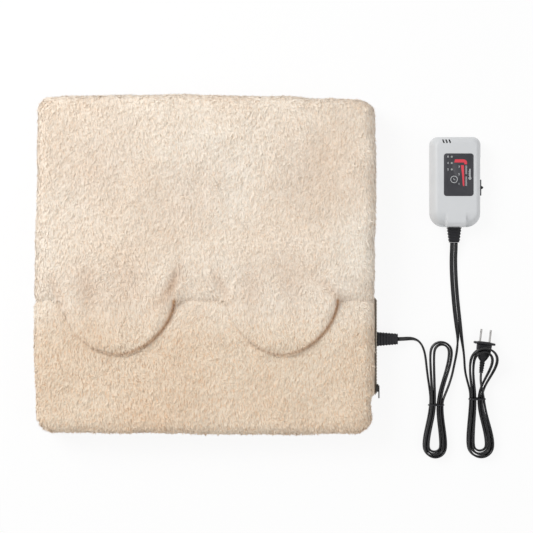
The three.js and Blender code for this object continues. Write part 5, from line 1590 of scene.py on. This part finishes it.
zip_tape = make_zip_tape()


# Finishes of the CAD nodes that keep their own shape
def metal_material(name, colour, lighter, roughness):
    wear = (700, 4, 0.6, 0.3, (1, 0.15, 1))
    return grained_material(
        name, roughness, [colour, lighter], None, wear, 0.00004, 0.4, (0.25, 0.75), metallic=1.0)


NICKEL = metal_material("nickel", (168, 166, 164), (196, 194, 192), 0.32)
STEEL = metal_material("steel", (150, 152, 156), (182, 184, 188), 0.35)
DARK_ZINC = metal_material("dark_zinc", (52, 50, 50), (84, 82, 80), 0.4)
ZIP_TEETH = plastic_material("zip_teeth", (150, 142, 130), (178, 170, 158), 0.4)
HEATER_WIRE = plastic_material("silicone_wire", (168, 78, 52), (190, 96, 68), 0.5)
BOARD_GREEN = plastic_material("board_green", (30, 86, 54), (44, 108, 70), 0.35)
BLUE_FILM = plastic_material("component_blue", (38, 66, 128), (56, 88, 150), 0.4)
for node, finish in (
    ("heater_wire", HEATER_WIRE), ("heater_socket", BLACK_MOULDED), ("socket_pin_1", NICKEL),
    ("socket_pin_2", NICKEL), ("zip_coil", ZIP_TEETH), ("zip_slider", DARK_ZINC), ("zip_pull", DARK_ZINC),
    ("plug_blade_1", NICKEL), ("plug_blade_2", NICKEL), ("circuit_board", BOARD_GREEN),
    ("slide_resistor", STEEL), ("timer_switch", BLACK_MOULDED), ("power_element", STEEL),
    ("capacitor", BLUE_FILM), ("case_screw_1", STEEL), ("case_screw_2", STEEL), ("case_screw_3", STEEL),
    ("case_screw_4", STEEL), ("temperature_slider", BLACK_MOULDED),
):
    paint(node, finish)


# Floor and light
WORLD_STRENGTH = 0.56
LIT_PLACE = (0.05, 0, 0)
KEY = {"place": (-1.25, 0.95, 1.45), "size": 1.1, "power": 27}
FILL = {"place": (1.6, -0.6, 1.8), "size": 1.6, "power": 8}
FLOOR_WHITE = 0.88
FLOOR_HALF = 4.0


def maths(tree, operation, a, b):
    node = add_node(tree, "Math")
    node.operation = operation
    for socket, value in zip(node.inputs, (a, b)):
        set_socket(tree, socket, value)
    return node.outputs[0]


def add_floor():
    """A floor that the camera sees as even white, and that the pieces see as pale paper."""
    mesh = bpy.data.meshes.new("floor")
    corners = [(x * FLOOR_HALF, y * FLOOR_HALF, 0) for x, y in ((-1, -1), (1, -1), (1, 1), (-1, 1))]
    mesh.from_pydata(corners, [], [(0, 1, 2, 3)])
    floor = placed("floor", mesh)
    material, tree, shader, _ = new_material(
        "floor", 0.9, Base_Color=(0.93, 0.93, 0.93, 1), Specular_IOR_Level=0.1)
    paths = add_node(tree, "LightPath").outputs
    seen = maths(tree, "MAXIMUM", paths["Is Camera Ray"], paths["Is Glossy Ray"])
    seen = maths(tree, "MAXIMUM", seen, paths["Is Transmission Ray"])
    mix = add_node(tree, "MixShader", Fac=maths(tree, "MULTIPLY", seen, FLOOR_WHITE))
    tree.links.new(shader.outputs["BSDF"], mix.inputs[1])
    tree.links.new(add_node(tree, "Emission", Strength=1).outputs["Emission"], mix.inputs[2])
    tree.links.new(mix.outputs["Shader"], tree.nodes["Material Output"].inputs["Surface"])
    mesh.materials.append(material)


def add_area(name, place, size, power):
    data = bpy.data.lights.new(name, "AREA")
    data.energy = power
    data.size = size
    lamp = placed(name, data)
    lamp.location = place
    lamp.rotation_euler = (Vector(LIT_PLACE) - Vector(place)).to_track_quat("-Z", "Y").to_euler()


def add_light():
    world = bpy.data.worlds.new("world")
    bpy.context.scene.world = world
    world.use_nodes = True
    tree = world.node_tree
    feed(tree, tree.nodes["Background"], Color=(1, 1, 1, 1), Strength=WORLD_STRENGTH)
    add_area("key", **KEY)
    add_area("fill", **FILL)


add_camera()
add_floor()
add_light()
bpy.context.scene.view_settings.view_transform = "Standard"
